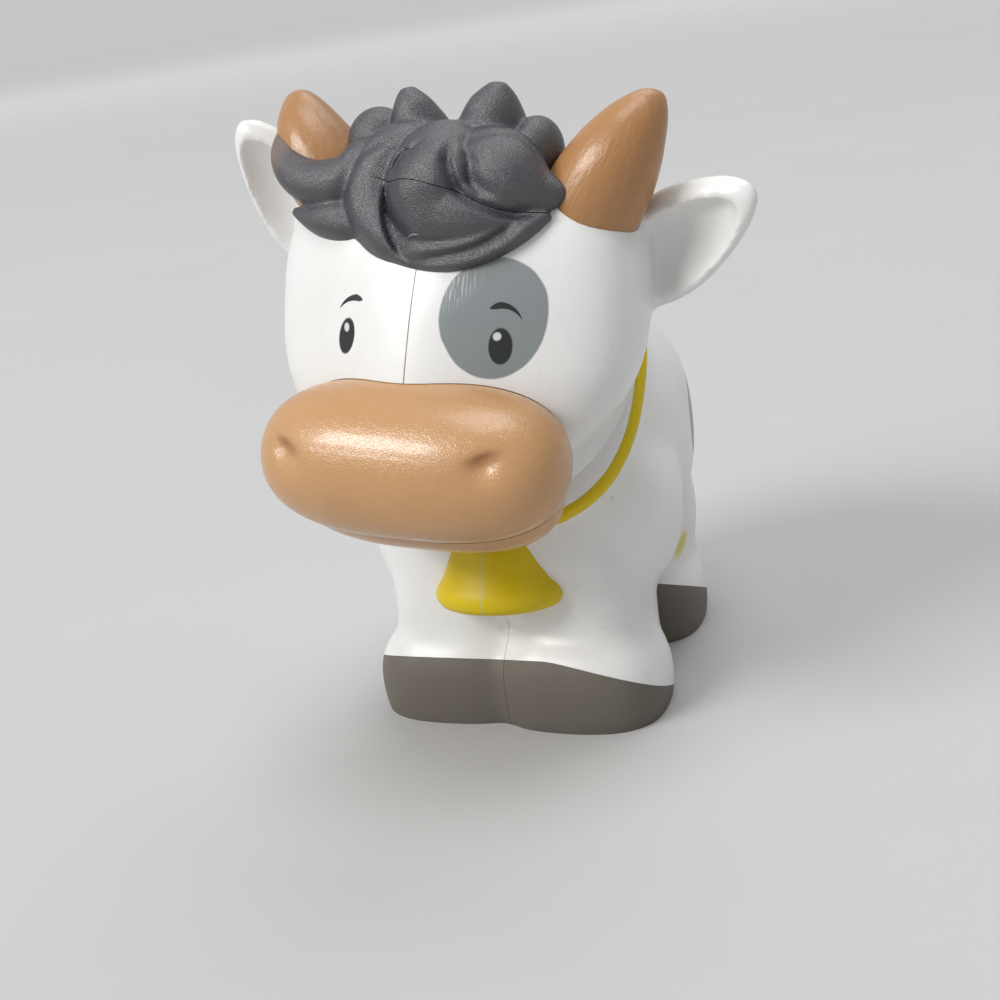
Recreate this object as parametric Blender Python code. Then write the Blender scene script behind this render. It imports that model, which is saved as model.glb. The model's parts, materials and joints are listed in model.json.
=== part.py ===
"""A small moulded toy cow with a head that turns on a slanted neck.

The cow faces -Y and stands on z = 0. Its own left is +X. The trunk and the head are each two hollow
plastic halves that meet on the middle plane, with the snout, the horns and the neck's pin caught
between them. Every piece is first modelled with the head straight, in a frame whose x = 0 is the
middle plane. The head is then turned to the rest pose, and the whole cow is moved so that the
middle of its box stands over the origin.
"""

import math

import bmesh
import bpy
from mathutils import Matrix, Vector

# Gaps and walls
CLEARANCE = 0.0003
WALL = 0.0018
OVERRUN = 0.002

# Grain and count of each softened skin
BODY_GRAIN = 0.0011
HEAD_GRAIN = 0.0009
HAIR_GRAIN = 0.0007
HOLLOW_GRAIN = 0.0016
BODY_TRIANGLES = 2200
HEAD_TRIANGLES = 2300
HAIR_TRIANGLES = 2500
HOLLOW_TRIANGLES = 420

# Trunk, a squarish egg
TRUNK_WIDTH = 0.0380
TRUNK_LENGTH = 0.0400
TRUNK_HEIGHT = 0.0365
TRUNK_MIDDLE_Y = 0.0050
TRUNK_MIDDLE_Z = 0.0287

# Chest, the mass between the front legs and the neck
CHEST_WIDTH = 0.0398
CHEST_LENGTH = 0.0290
CHEST_HEIGHT = 0.0280
CHEST_MIDDLE_Y = -0.0052
CHEST_MIDDLE_Z = 0.0228

# Legs and feet, which keep to the chest's width. The legs of a pair are moulded together and part
# only at the toes
LEG_WIDTH_SHARE = 0.414
LEG_SPREAD_SHARE = 0.204
FOOT_WIDTH_SHARE = 0.558
FOOT_SPREAD_SHARE = 0.201
REAR_FOOT_WIDTH_SHARE = 0.508
REAR_FOOT_SPREAD_SHARE = 0.198
LEG_WIDTH = LEG_WIDTH_SHARE * CHEST_WIDTH
LEG_SPREAD = LEG_SPREAD_SHARE * CHEST_WIDTH
FOOT_WIDTH = FOOT_WIDTH_SHARE * CHEST_WIDTH
FOOT_SPREAD = FOOT_SPREAD_SHARE * CHEST_WIDTH
REAR_FOOT_WIDTH = REAR_FOOT_WIDTH_SHARE * CHEST_WIDTH
REAR_FOOT_SPREAD = REAR_FOOT_SPREAD_SHARE * CHEST_WIDTH
LEG_LENGTH = 0.0175
LEG_HEIGHT = 0.0300
FRONT_LEG_Y = -0.0100
REAR_LEG_Y = 0.0114
FOOT_LENGTH = 0.0174
FOOT_HEIGHT = 0.0150
FRONT_FOOT_Y = -0.0139
REAR_FOOT_Y = 0.0092

# Hooves, the grey ends of the feet, higher at the toe than at the heel
HOOF_TOE_HEIGHT = 0.0098
HOOF_HEEL_HEIGHT = 0.0008

# Belly arch between the front and the rear legs
ARCH_WIDTH_Y = 0.0056
ARCH_HEIGHT = 0.0100
ARCH_MIDDLE_Y = -0.0022

# Neck, a stub whose slanted end carries the head
NECK_SLANT = math.radians(45.0)
NECK_PIVOT_Y = -0.0091
NECK_PIVOT_Z = 0.0405
NECK_WIDTH = 0.0344
NECK_DEPTH = 0.0358
NECK_LENGTH = 0.0240
REST_TURN = math.radians(8.0)

# Neck pin, with a flange in the head and one in the trunk, and its rubber ring
PIN_DIAMETER = 0.0080
PIN_FLANGE_DIAMETER = 0.0140
PIN_FLANGE_THICKNESS = 0.0020
RING_DIAMETER = 0.0124
RING_THICKNESS = 0.0012

# Collar and bell
COLLAR_WIDTH = 0.0019
COLLAR_RISE = 0.0010
COLLAR_DROP = 0.0014
BELL_HEIGHT = 0.0098
BELL_BOTTOM_WIDTH = 0.0168
BELL_TOP_WIDTH = 0.0104
BELL_LIP_HEIGHT = 0.0020
BELL_FLARE = 0.0011
BELL_DEPTH_SHARE = 0.80
BELL_MIDDLE_Y = -0.0185
BELL_BOTTOM_Z = 0.0155
BELL_LEAN = math.radians(10.0)

# Tail, lying down the rump
TAIL_DIAMETER = 0.0034
TAIL_DROP = 0.0130
TUFT_DIAMETER = 0.0062
TUFT_LENGTH = 0.0100

# Head, an egg with its long end to the snout
HEAD_WIDTH = 0.0436
HEAD_HEIGHT = 0.0350
HEAD_FRONT_DEPTH = 0.0096
HEAD_REAR_DEPTH = 0.0195
HEAD_MIDDLE_Y = -0.0175
HEAD_MIDDLE_Z = 0.0508
FACE_SLOPE = 0.0040
FACE_RIDGE = 0.0026

# Ears, cupped leaves that point out, forward and up, and narrow toward the tip
EAR_LENGTH = 0.0220
EAR_HEIGHT = 0.0112
EAR_THICKNESS = 0.0046
EAR_ROOT_X = 0.0200
EAR_ROOT_Y = -0.0100
EAR_ROOT_Z = 0.0574
LEFT_EAR_REACH = 0.0157
RIGHT_EAR_REACH = 0.0178
LEFT_EAR_RISE = math.radians(30.0)
RIGHT_EAR_RISE = math.radians(50.0)
EAR_FORWARD = math.radians(16.0)
EAR_TAPER_SHARE = 0.26
EAR_TIP_LIFT = 0.0010
EAR_CUP_LENGTH = 0.0174
EAR_CUP_HEIGHT = 0.0082
EAR_CUP_DEPTH = 0.0028
EAR_CUP_DROP = 0.0006

# Snout, a wide pill set a little askew, with a jaw peeping out below it
SNOUT_WIDTH = 0.0368
SNOUT_DEPTH = 0.0164
SNOUT_HEIGHT = 0.0174
SNOUT_MIDDLE_Y = -0.0308
SNOUT_MIDDLE_Z = 0.0386
SNOUT_ROLL = math.radians(2.4)
SNOUT_POWER = 2.7
JAW_WIDTH = 0.0336
JAW_DEPTH = 0.0128
JAW_HEIGHT = 0.0144
JAW_DROP = 0.0031
JAW_SETBACK = 0.0015
NOSTRIL_LENGTH = 0.0042
NOSTRIL_HEIGHT = 0.0020
NOSTRIL_DEPTH = 0.0016
NOSTRIL_SPREAD = 0.0119
NOSTRIL_RISE = 0.0027
NOSTRIL_TILT = math.radians(18.0)

# Horns, fat cones that curve upward
HORN_BASE_DIAMETER = 0.0120
HORN_HEIGHT = 0.0152
HORN_BASE_Y = -0.0151
HORN_TIP_Y = -0.0117
HORN_BASE_Z = 0.0594

# Farther than any point of the cow is from any other
REACH = TRUNK_LENGTH + TRUNK_HEIGHT + HEAD_WIDTH

# Hair, a box of curls on the crown: its width, depth and height, and the middle of the box
HAIR_WIDTH = 0.0400
HAIR_DEPTH = 0.0300
HAIR_HEIGHT = 0.0200
HAIR_MIDDLE_Y = -0.0140
HAIR_MIDDLE_Z = 0.0660
HAIR_PARTING_Z = 0.0678
HAIR_PARTING_RISE = math.radians(-15.0)
HAIR_PARTING_ROLL = math.radians(5.5)

# Each ball of the hair: middle and size as shares of the hair's box
HAIR_BALL_SHARES = (
    ((0.000, 0.100, -0.150), (0.675, 0.800, 0.700)),
    ((0.020, -0.193, 0.010), (0.330, 0.467, 0.680)),
    ((0.235, -0.020, 0.155), (0.145, 0.233, 0.380)),
    ((-0.245, -0.027, 0.190), (0.185, 0.253, 0.400)),
    ((0.000, 0.333, -0.225), (0.550, 0.467, 0.600)),
)

# Each lock of the hair: points along it as shares of the box, then its thickness there as a share
# of the box's height
HAIR_LOCK_SHARES = (
    (((0.02, -0.15, 0.10), 0.50), ((0.02, -0.22, -0.03), 0.63), ((0.03, -0.25, -0.17), 0.55),
     ((0.04, -0.28, -0.27), 0.40)),
    (((-0.03, -0.02, 0.15), 0.20), ((-0.07, -0.10, 0.23), 0.25), ((-0.14, -0.16, 0.20), 0.30),
     ((-0.19, -0.22, 0.10), 0.32), ((-0.20, -0.26, -0.02), 0.33), ((-0.18, -0.30, -0.17), 0.31),
     ((-0.13, -0.33, -0.26), 0.29), ((-0.07, -0.36, -0.31), 0.25), ((-0.01, -0.38, -0.32), 0.17)),
    (((0.04, -0.22, -0.02), 0.50), ((0.12, -0.25, -0.07), 0.42), ((0.19, -0.27, -0.10), 0.30),
     ((0.25, -0.27, -0.12), 0.19), ((0.30, -0.25, -0.11), 0.07)),
    (((0.05, -0.13, 0.13), 0.33), ((0.15, -0.18, 0.08), 0.47), ((0.23, -0.20, 0.02), 0.41),
     ((0.30, -0.20, -0.04), 0.27), ((0.35, -0.19, -0.02), 0.07)),
    (((-0.07, -0.37, -0.29), 0.18), ((0.00, -0.39, -0.31), 0.21), ((0.09, -0.39, -0.30), 0.22),
     ((0.18, -0.37, -0.26), 0.21), ((0.25, -0.34, -0.21), 0.18), ((0.30, -0.29, -0.14), 0.14),
     ((0.34, -0.25, -0.11), 0.06)),
    (((-0.17, -0.20, 0.03), 0.37), ((-0.26, -0.21, 0.02), 0.31), ((-0.34, -0.22, 0.01), 0.27),
     ((-0.41, -0.21, 0.01), 0.25), ((-0.48, -0.17, 0.07), 0.22), ((-0.53, -0.13, 0.18), 0.15),
     ((-0.55, -0.09, 0.25), 0.05)),
    (((-0.15, -0.27, -0.15), 0.32), ((-0.24, -0.27, -0.17), 0.28), ((-0.32, -0.26, -0.18), 0.23),
     ((-0.39, -0.24, -0.18), 0.15), ((-0.46, -0.21, -0.16), 0.05)),
    (((0.10, -0.03, 0.08), 0.47), ((0.11, -0.03, 0.23), 0.44), ((0.12, -0.04, 0.38), 0.33),
     ((0.13, -0.04, 0.47), 0.21), ((0.13, -0.04, 0.52), 0.08)),
    (((-0.10, -0.03, 0.08), 0.42), ((-0.11, -0.03, 0.22), 0.39), ((-0.13, -0.04, 0.36), 0.27),
     ((-0.14, -0.04, 0.45), 0.18), ((-0.14, -0.04, 0.50), 0.07)),
)

# The horns stand in the hair, as far apart as it is wide
HORN_BASE_SPREAD_SHARE = 0.3625
HORN_TIP_SPREAD_SHARE = 0.565
HORN_BASE_SPREAD = HORN_BASE_SPREAD_SHARE * HAIR_WIDTH
HORN_TIP_SPREAD = HORN_TIP_SPREAD_SHARE * HAIR_WIDTH

# Counts and the shares of the small shapes
BALL_RINGS = 16
BALL_SEGMENTS = 28
SKULL_RINGS = 24
SKULL_SEGMENTS = 40
HOLLOW_RINGS = 10
HOLLOW_SEGMENTS = 18
TUFT_BULGE_SHARE = 0.45
TAIL_STEPS = 4
TURNED_STEPS = 32
LOCK_STEPS = 4
LOCK_BEVEL_STEPS = 4
BODY_SMOOTHING_STEPS = 9
HEAD_SMOOTHING_STEPS = 5
HAIR_SMOOTHING_STEPS = 2
HOLLOW_SMOOTHING_STEPS = 2
SOFTENING_SHARE = 0.5
WELD_SHARE = 0.001
SHARP_EDGE_ANGLE = math.radians(35.0)
FOOT_POWER = 2.8
PILL_POWER = 3.0
ROUND_POWER = 2.0
TRUNK_POWER = 2.5
HEAD_SIDE_POWER = 3.3
HEAD_FRONT_POWER = 2.6
HEAD_REAR_POWER = 2.1
FACE_RIDGE_SHARE = 0.42
JOWL_WIDTH_SHARE = 0.74

# Each horn: how far along it lies outward, back and up, then its thickness there
HORN_POINT_SHARES = (
    (0.00, 0.00, 0.000, 0.42),
    (0.02, 0.00, 0.040, 0.72),
    (0.07, 0.00, 0.125, 0.90),
    (0.17, 0.03, 0.275, 1.00),
    (0.31, 0.09, 0.463, 0.99),
    (0.48, 0.21, 0.650, 0.88),
    (0.68, 0.44, 0.810, 0.67),
    (0.85, 0.74, 0.920, 0.43),
    (0.95, 0.91, 0.975, 0.27),
    (1.00, 1.00, 1.000, 0.07),
)

# Each plastic's colour and roughness
WHITE = (0.80, 0.80, 0.79), 0.32
TAN = (0.56, 0.30, 0.14), 0.26
HORN_TAN = (0.48, 0.25, 0.10), 0.28
CHARCOAL = (0.070, 0.060, 0.065), 0.42
YELLOW = (0.68, 0.52, 0.01), 0.38
TAUPE = (0.20, 0.18, 0.15), 0.40
RUBBER = (0.03, 0.03, 0.03), 0.70


def clear_scene():
    for thing in list(bpy.data.objects):
        bpy.data.objects.remove(thing, do_unlink=True)


def plastic(name, colour, roughness):
    material = bpy.data.materials.new(name)
    material.use_nodes = True
    shader = material.node_tree.nodes["Principled BSDF"]
    shader.inputs["Base Color"].default_value = (*colour, 1.0)
    shader.inputs["Roughness"].default_value = roughness
    shader.inputs["Metallic"].default_value = 0.0
    material.diffuse_color = (*colour, 1.0)
    return material


def mesh_object(name, mesh):
    thing = bpy.data.objects.new(name, mesh)
    bpy.context.scene.collection.objects.link(thing)
    return thing


def from_bmesh(name, shape):
    mesh = bpy.data.meshes.new(name)
    shape.normal_update()
    shape.to_mesh(mesh)
    shape.free()
    return mesh_object(name, mesh)


def settle(thing):
    """Gives the object the mesh that its modifiers make, or turns a curve into a mesh object."""
    graph = bpy.context.evaluated_depsgraph_get()
    mesh = bpy.data.meshes.new_from_object(thing.evaluated_get(graph), depsgraph=graph)
    name = thing.name
    if thing.type == "MESH":
        thing.modifiers.clear()
        thing.data = mesh
        return thing
    matrix = thing.matrix_world.copy()
    bpy.data.objects.remove(thing, do_unlink=True)
    made = mesh_object(name, mesh)
    made.matrix_world = matrix
    return made


def twin(thing, name):
    other = thing.copy()
    other.data = thing.data.copy()
    other.name = name
    bpy.context.scene.collection.objects.link(other)
    return other


def ball(name, middle, size, power=ROUND_POWER, turn=Matrix.Identity(4)):
    """A ball of the given full size. A power over 2 squares its outline seen from any side."""
    shape = bmesh.new()
    bmesh.ops.create_uvsphere(shape, u_segments=BALL_SEGMENTS, v_segments=BALL_RINGS, radius=1.0)
    for vertex in shape.verts:
        x, y, z = (abs(part) for part in vertex.co)
        reach = (x**power + y**power + z**power) ** (1.0 / power)
        vertex.co = vertex.co / reach
    half = Matrix.Diagonal((*(full / 2 for full in size), 1.0))
    bmesh.ops.transform(shape, matrix=Matrix.Translation(middle) @ turn @ half, verts=shape.verts)
    return from_bmesh(name, shape)


def pill(name, middle, size, power):
    """A ball that is round seen from its end, stretched and squared only along X."""
    shape = bmesh.new()
    bmesh.ops.create_uvsphere(shape, u_segments=BALL_SEGMENTS, v_segments=BALL_RINGS, radius=1.0)
    for vertex in shape.verts:
        x = abs(vertex.co.x)
        across = math.hypot(vertex.co.y, vertex.co.z)
        vertex.co = vertex.co / (x**power + across**power) ** (1.0 / power)
    half = Matrix.Diagonal((*(full / 2 for full in size), 1.0))
    bmesh.ops.transform(shape, matrix=Matrix.Translation(middle) @ half, verts=shape.verts)
    return from_bmesh(name, shape)


def box(name, low, high, turn=Matrix.Identity(4)):
    low, high = Vector(low), Vector(high)
    shape = bmesh.new()
    bmesh.ops.create_cube(shape, size=1.0)
    stretch = Matrix.Diagonal((*(high - low), 1.0))
    bmesh.ops.transform(
        shape, matrix=turn @ Matrix.Translation((low + high) / 2) @ stretch, verts=shape.verts
    )
    return from_bmesh(name, shape)


def turned(name, outline, place=Matrix.Identity(4)):
    """A closed ring or disc turned about the Z of its place. The outline is (radius, height) pairs."""
    shape = bmesh.new()
    points = [shape.verts.new((radius, 0.0, height)) for radius, height in outline]
    edges = [shape.edges.new(pair) for pair in zip(points, points[1:])]
    if outline[0][0] > 0.0:
        edges.append(shape.edges.new((points[-1], points[0])))
    bmesh.ops.spin(
        shape,
        geom=points + edges,
        axis=(0.0, 0.0, 1.0),
        cent=(0.0, 0.0, 0.0),
        angle=2.0 * math.pi,
        steps=TURNED_STEPS,
        use_merge=True,
    )
    heights = [height for _, height in outline]
    thing = welded(from_bmesh(name, shape), (max(heights) - min(heights)) * WELD_SHARE)
    thing.data.transform(place)
    return thing


def welded(thing, distance):
    """Joins vertices that lie closer than the distance, such as a tube's end ring and its cap."""
    shape = bmesh.new()
    shape.from_mesh(thing.data)
    bmesh.ops.remove_doubles(shape, verts=shape.verts, dist=distance)
    bmesh.ops.recalc_face_normals(shape, faces=shape.faces)
    shape.to_mesh(thing.data)
    shape.free()
    return thing


def lock(name, points, diameters):
    """A tapering strand along a smooth line through the points."""
    data = bpy.data.curves.new(name, "CURVE")
    data.dimensions = "3D"
    data.bevel_depth = 1.0
    data.bevel_resolution = LOCK_BEVEL_STEPS
    data.resolution_u = LOCK_STEPS
    data.use_fill_caps = True
    spline = data.splines.new("NURBS")
    spline.points.add(len(points) - 1)
    for knot, place, across in zip(spline.points, points, diameters):
        knot.co = (*place, 1.0)
        knot.radius = across / 2
    spline.order_u = 3
    spline.use_endpoint_u = True
    thing = bpy.data.objects.new(name, data)
    bpy.context.scene.collection.objects.link(thing)
    return welded(settle(thing), min(diameters) * WELD_SHARE)


def grown(thing, distance):
    """A copy with every face moved out by the distance, or in if it is negative."""
    copy = twin(thing, thing.name + ".grown")
    move = copy.modifiers.new("Move", "DISPLACE")
    move.strength = distance
    move.mid_level = 0.0
    return settle(copy)


def triangle_count(thing):
    thing.data.calc_loop_triangles()
    return len(thing.data.loop_triangles)


def fused(name, pieces, grain, softening, triangles):
    """One closed skin round overlapping pieces, with its creases softened."""
    shape = bmesh.new()
    for piece in pieces:
        shape.from_mesh(piece.data)
        bpy.data.objects.remove(piece, do_unlink=True)
    skin = from_bmesh(name, shape)
    wrap = skin.modifiers.new("Wrap", "REMESH")
    wrap.mode = "VOXEL"
    wrap.voxel_size = grain
    soften = skin.modifiers.new("Soften", "SMOOTH")
    soften.factor = SOFTENING_SHARE
    soften.iterations = softening
    settle(skin)
    thin = skin.modifiers.new("Thin", "DECIMATE")
    thin.ratio = min(1.0, triangles / triangle_count(skin))
    return settle(skin)


def carve(thing, *tools, operation="DIFFERENCE"):
    """Cuts the thing with each tool in turn, and removes the tools."""
    for tool in tools:
        cut = thing.modifiers.new("Carve", "BOOLEAN")
        cut.operation = operation
        cut.solver = "EXACT"
        cut.object = tool
        settle(thing)
        bpy.data.objects.remove(tool, do_unlink=True)
    return thing


def largest_body(thing):
    """Drops the crumbs that a cut leaves beside the main body."""
    shape = bmesh.new()
    shape.from_mesh(thing.data)
    left = set(shape.verts)
    groups = []
    while left:
        reached = {left.pop()}
        edge = list(reached)
        while edge:
            near = {e.other_vert(v) for v in edge for e in v.link_edges}
            edge = list(near - reached)
            reached |= near
        left -= reached
        groups.append(reached)
    keep = max(groups, key=len)
    drop = [v for v in shape.verts if v not in keep]
    bmesh.ops.delete(shape, geom=drop, context="VERTS")
    shape.to_mesh(thing.data)
    shape.free()
    return thing


def neck_place(along=0.0):
    """The frame of the neck: Z is the axis that the head turns on, from the pivot outward."""
    slant = Matrix.Rotation(NECK_SLANT, 4, "X")
    pivot = Matrix.Translation((0.0, NECK_PIVOT_Y, NECK_PIVOT_Z))
    return pivot @ slant @ Matrix.Translation((0.0, 0.0, along))


def half_space(name, place, reach):
    """A block on the +Z side of the place, big enough to take away all that lies there."""
    return box(name, (-reach, -reach, 0.0), (reach, reach, reach), place)


def side_block(name, side):
    """All that lies past the middle plane on the other side, with half of the seam's gap."""
    edge = -side * REACH
    middle = side * CLEARANCE / 2
    return box(name, (min(edge, middle), -REACH, -REACH), (max(edge, middle), REACH, REACH))


def body_form():
    """The whole trunk with its legs and neck, solid, from the floor to the slanted neck's end."""
    pieces = [
        ball("trunk", (0.0, TRUNK_MIDDLE_Y, TRUNK_MIDDLE_Z),
             (TRUNK_WIDTH, TRUNK_LENGTH, TRUNK_HEIGHT), TRUNK_POWER),
        ball("chest", (0.0, CHEST_MIDDLE_Y, CHEST_MIDDLE_Z),
             (CHEST_WIDTH, CHEST_LENGTH, CHEST_HEIGHT), TRUNK_POWER),
    ]
    for side in (-1, 1):
        for leg_y, foot_y, spread, width in (
            (FRONT_LEG_Y, FRONT_FOOT_Y, FOOT_SPREAD, FOOT_WIDTH),
            (REAR_LEG_Y, REAR_FOOT_Y, REAR_FOOT_SPREAD, REAR_FOOT_WIDTH),
        ):
            pieces.append(ball("leg", (side * LEG_SPREAD, leg_y, LEG_HEIGHT / 3),
                               (LEG_WIDTH, LEG_LENGTH, LEG_HEIGHT), PILL_POWER))
            pieces.append(ball("foot", (side * spread, foot_y, 0.0),
                               (width, FOOT_LENGTH, FOOT_HEIGHT), FOOT_POWER))
    neck = ball("neck", (0.0, 0.0, 0.0), (NECK_WIDTH, NECK_DEPTH, NECK_LENGTH * 2), PILL_POWER)
    neck.data.transform(neck_place())
    pieces.append(neck)
    form = fused("body_form", pieces, BODY_GRAIN, BODY_SMOOTHING_STEPS, BODY_TRIANGLES)
    floor = box("floor", (-REACH, -REACH, -REACH), (REACH, REACH, 0.0))
    return carve(form, half_space("above_neck", neck_place(), REACH), floor)


def hoof_place(toe_y, heel_y):
    """The slanted plane that the hoof's top lies in, with +Z away from the hoof."""
    fall = math.atan2(HOOF_TOE_HEIGHT - HOOF_HEEL_HEIGHT, heel_y - toe_y)
    return Matrix.Translation((0.0, toe_y, HOOF_TOE_HEIGHT)) @ Matrix.Rotation(-fall, 4, "X")


def hoof_zone(name, foot_y, growth):
    """The wedge of space under one pair's slanted hoof tops, from the arch to past the toes."""
    toe_y = foot_y - FOOT_LENGTH / 2
    heel_y = foot_y + FOOT_LENGTH / 2
    wedge = box(name, (-REACH, toe_y - OVERRUN, -OVERRUN),
                (REACH, heel_y + OVERRUN, HOOF_TOE_HEIGHT + OVERRUN))
    lift = Matrix.Translation((0.0, 0.0, growth))
    return carve(wedge, half_space("above_hoof", hoof_place(toe_y, heel_y) @ lift, REACH))


def arch_cutter():
    """The belly arch: a tunnel from side to side between the legs, round at its top."""
    radius = ARCH_WIDTH_Y / 2
    shape = bmesh.new()
    bmesh.ops.create_cone(shape, cap_ends=True, segments=TURNED_STEPS, radius1=radius,
                          radius2=radius, depth=2 * REACH)
    lay = Matrix.Rotation(math.pi / 2, 4, "Y")
    up = Matrix.Translation((0.0, ARCH_MIDDLE_Y, ARCH_HEIGHT - radius))
    bmesh.ops.transform(shape, matrix=up @ lay, verts=shape.verts)
    top = from_bmesh("arch_top", shape)
    legs = box("arch_legs", (-REACH, ARCH_MIDDLE_Y - radius, -OVERRUN),
               (REACH, ARCH_MIDDLE_Y + radius, ARCH_HEIGHT - radius))
    return carve(top, legs, operation="UNION")


def make_hooves(form, taupe):
    hooves = []
    for pair, foot_y in (("front", FRONT_FOOT_Y), ("rear", REAR_FOOT_Y)):
        for side, word in ((1, "left"), (-1, "right")):
            hoof = twin(form, f"{pair}_hoof_{word}")
            zone = hoof_zone("hoof_zone", foot_y, 0.0)
            carve(hoof, zone, operation="INTERSECT")
            carve(hoof, side_block("other_side", side))
            largest_body(hoof)
            hoof.data.materials.clear()
            hoof.data.materials.append(taupe)
            hooves.append(hoof)
    return hooves


def trunk_hollow():
    """The inside of the trunk and the neck, one wall in from the outside."""
    wall = 2 * WALL
    trunk = ball("hollow_trunk", (0.0, TRUNK_MIDDLE_Y, TRUNK_MIDDLE_Z),
                 (TRUNK_WIDTH - wall, TRUNK_LENGTH - wall, TRUNK_HEIGHT - wall), TRUNK_POWER)
    neck = ball("hollow_neck", (0.0, 0.0, 0.0),
                (NECK_WIDTH - 2 * wall, NECK_DEPTH - 2 * wall, NECK_LENGTH), ROUND_POWER)
    neck.data.transform(neck_place(-WALL))
    hollow = fused("trunk_hollow", [trunk, neck], HOLLOW_GRAIN, HOLLOW_SMOOTHING_STEPS, HOLLOW_TRIANGLES)
    return carve(hollow, half_space("neck_plate", neck_place(-WALL), REACH))


def pin_hole(name):
    """The hole that the neck's pin turns in, through the plates of the trunk and the head."""
    radius = PIN_DIAMETER / 2 + CLEARANCE
    reach = WALL + OVERRUN
    return turned(name, ((0.0, -reach), (radius, -reach), (radius, reach), (0.0, reach)),
                  neck_place())


def make_trunk(form, white):
    shells = []
    for side, word in ((1, "left"), (-1, "right")):
        shell = twin(form, f"body_shell_{word}")
        for foot_y in (FRONT_FOOT_Y, REAR_FOOT_Y):
            carve(shell, hoof_zone("hoof_zone", foot_y, CLEARANCE))
        carve(shell, trunk_hollow(), pin_hole("pin_hole"), side_block("other_side", side))
        largest_body(shell)
        shell.data.materials.clear()
        shell.data.materials.append(white)
        shells.append(shell)
    return shells


def make_collar(form, yellow):
    """A raised band round the neck, just under the head."""
    collar = grown(form, CLEARANCE + COLLAR_RISE)
    collar.name = "collar"
    top = neck_place(-COLLAR_DROP)
    bottom = neck_place(-COLLAR_DROP - COLLAR_WIDTH) @ Matrix.Rotation(math.pi, 4, "X")
    carve(collar, half_space("over_collar", top, REACH), half_space("under_collar", bottom, REACH))
    carve(collar, grown(form, CLEARANCE))
    largest_body(collar)
    collar.data.materials.clear()
    collar.data.materials.append(yellow)
    return collar


def make_bell(form, collar, yellow):
    """A half-round cow bell on the chest, with a flared lip."""
    bottom = BELL_BOTTOM_WIDTH / 2
    waist = bottom - BELL_FLARE
    top = BELL_TOP_WIDTH / 2
    outline = (
        (0.0, 0.0),
        (bottom, 0.0),
        (bottom, BELL_LIP_HEIGHT / 2),
        (waist, BELL_LIP_HEIGHT),
        (top, BELL_HEIGHT - BELL_LIP_HEIGHT / 2),
        (top - BELL_FLARE, BELL_HEIGHT),
        (0.0, BELL_HEIGHT),
    )
    place = Matrix.Translation((0.0, BELL_MIDDLE_Y, BELL_BOTTOM_Z))
    flat = Matrix.Diagonal((1.0, BELL_DEPTH_SHARE, 1.0, 1.0))
    bell = turned("bell", outline, place @ Matrix.Rotation(-BELL_LEAN, 4, "X") @ flat)
    carve(bell, grown(form, CLEARANCE), grown(collar, CLEARANCE))
    largest_body(bell)
    bell.data.materials.append(yellow)
    return bell


def rump_point(height):
    """The point of the rump's middle line at a height, from the trunk's own outline."""
    up = abs(height - TRUNK_MIDDLE_Z) / (TRUNK_HEIGHT / 2)
    back = (1.0 - up**TRUNK_POWER) ** (1.0 / TRUNK_POWER)
    return Vector((0.0, TRUNK_MIDDLE_Y + back * TRUNK_LENGTH / 2, height))


def make_tail(form, white, charcoal):
    root_z = TRUNK_MIDDLE_Z + TRUNK_HEIGHT / 4
    tip_z = root_z - TAIL_DROP
    heights = [root_z - TAIL_DROP * step / TAIL_STEPS for step in range(TAIL_STEPS + 1)]
    points = [rump_point(height) for height in heights]
    tail = lock("tail", points, [TAIL_DIAMETER] * len(points))
    end = rump_point(tip_z)
    lower = end - Vector((0.0, 0.0, TUFT_LENGTH))
    tuft_points = [end, end.lerp(lower, TUFT_BULGE_SHARE), lower]
    tuft = lock("tail_tuft", tuft_points, [TAIL_DIAMETER, TUFT_DIAMETER, TAIL_DIAMETER / 3])
    carve(tail, grown(form, CLEARANCE))
    carve(tuft, grown(form, CLEARANCE), grown(tail, CLEARANCE))
    for piece, material in ((tail, white), (tuft, charcoal)):
        largest_body(piece)
        piece.data.materials.clear()
        piece.data.materials.append(material)
    return [tail, tuft]


def make_pin(white, rubber):
    """The neck's pin, with a flange at each end, and the ring that keeps the head where it is put."""
    shaft = PIN_DIAMETER / 2
    flange = PIN_FLANGE_DIAMETER / 2
    upper = WALL + CLEARANCE
    lower = upper + RING_THICKNESS + CLEARANCE
    pin = turned("neck_pin", (
        (0.0, -lower - PIN_FLANGE_THICKNESS),
        (flange, -lower - PIN_FLANGE_THICKNESS),
        (flange, -lower),
        (shaft, -lower),
        (shaft, upper),
        (flange, upper),
        (flange, upper + PIN_FLANGE_THICKNESS),
        (0.0, upper + PIN_FLANGE_THICKNESS),
    ), neck_place())
    pin.data.materials.append(white)
    inner = shaft + CLEARANCE
    outer = RING_DIAMETER / 2
    ring = turned("neck_ring", (
        (inner, -upper - RING_THICKNESS),
        (outer, -upper - RING_THICKNESS),
        (outer, -upper),
        (inner, -upper),
    ), neck_place())
    ring.data.materials.append(rubber)
    return pin, ring


def ear_place(side):
    """The frame of one ear: X runs to its tip and -Y is the way its cup faces."""
    root = Matrix.Translation((side * EAR_ROOT_X, EAR_ROOT_Y, EAR_ROOT_Z))
    forward = Matrix.Rotation(-side * EAR_FORWARD, 4, "Z")
    angle = LEFT_EAR_RISE if side > 0 else RIGHT_EAR_RISE
    reach = LEFT_EAR_REACH if side > 0 else RIGHT_EAR_REACH
    rise = Matrix.Rotation(-side * angle, 4, "Y")
    along = Matrix.Translation((side * (reach - EAR_LENGTH / 2), 0.0, 0.0))
    return root @ forward @ rise @ along


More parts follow.
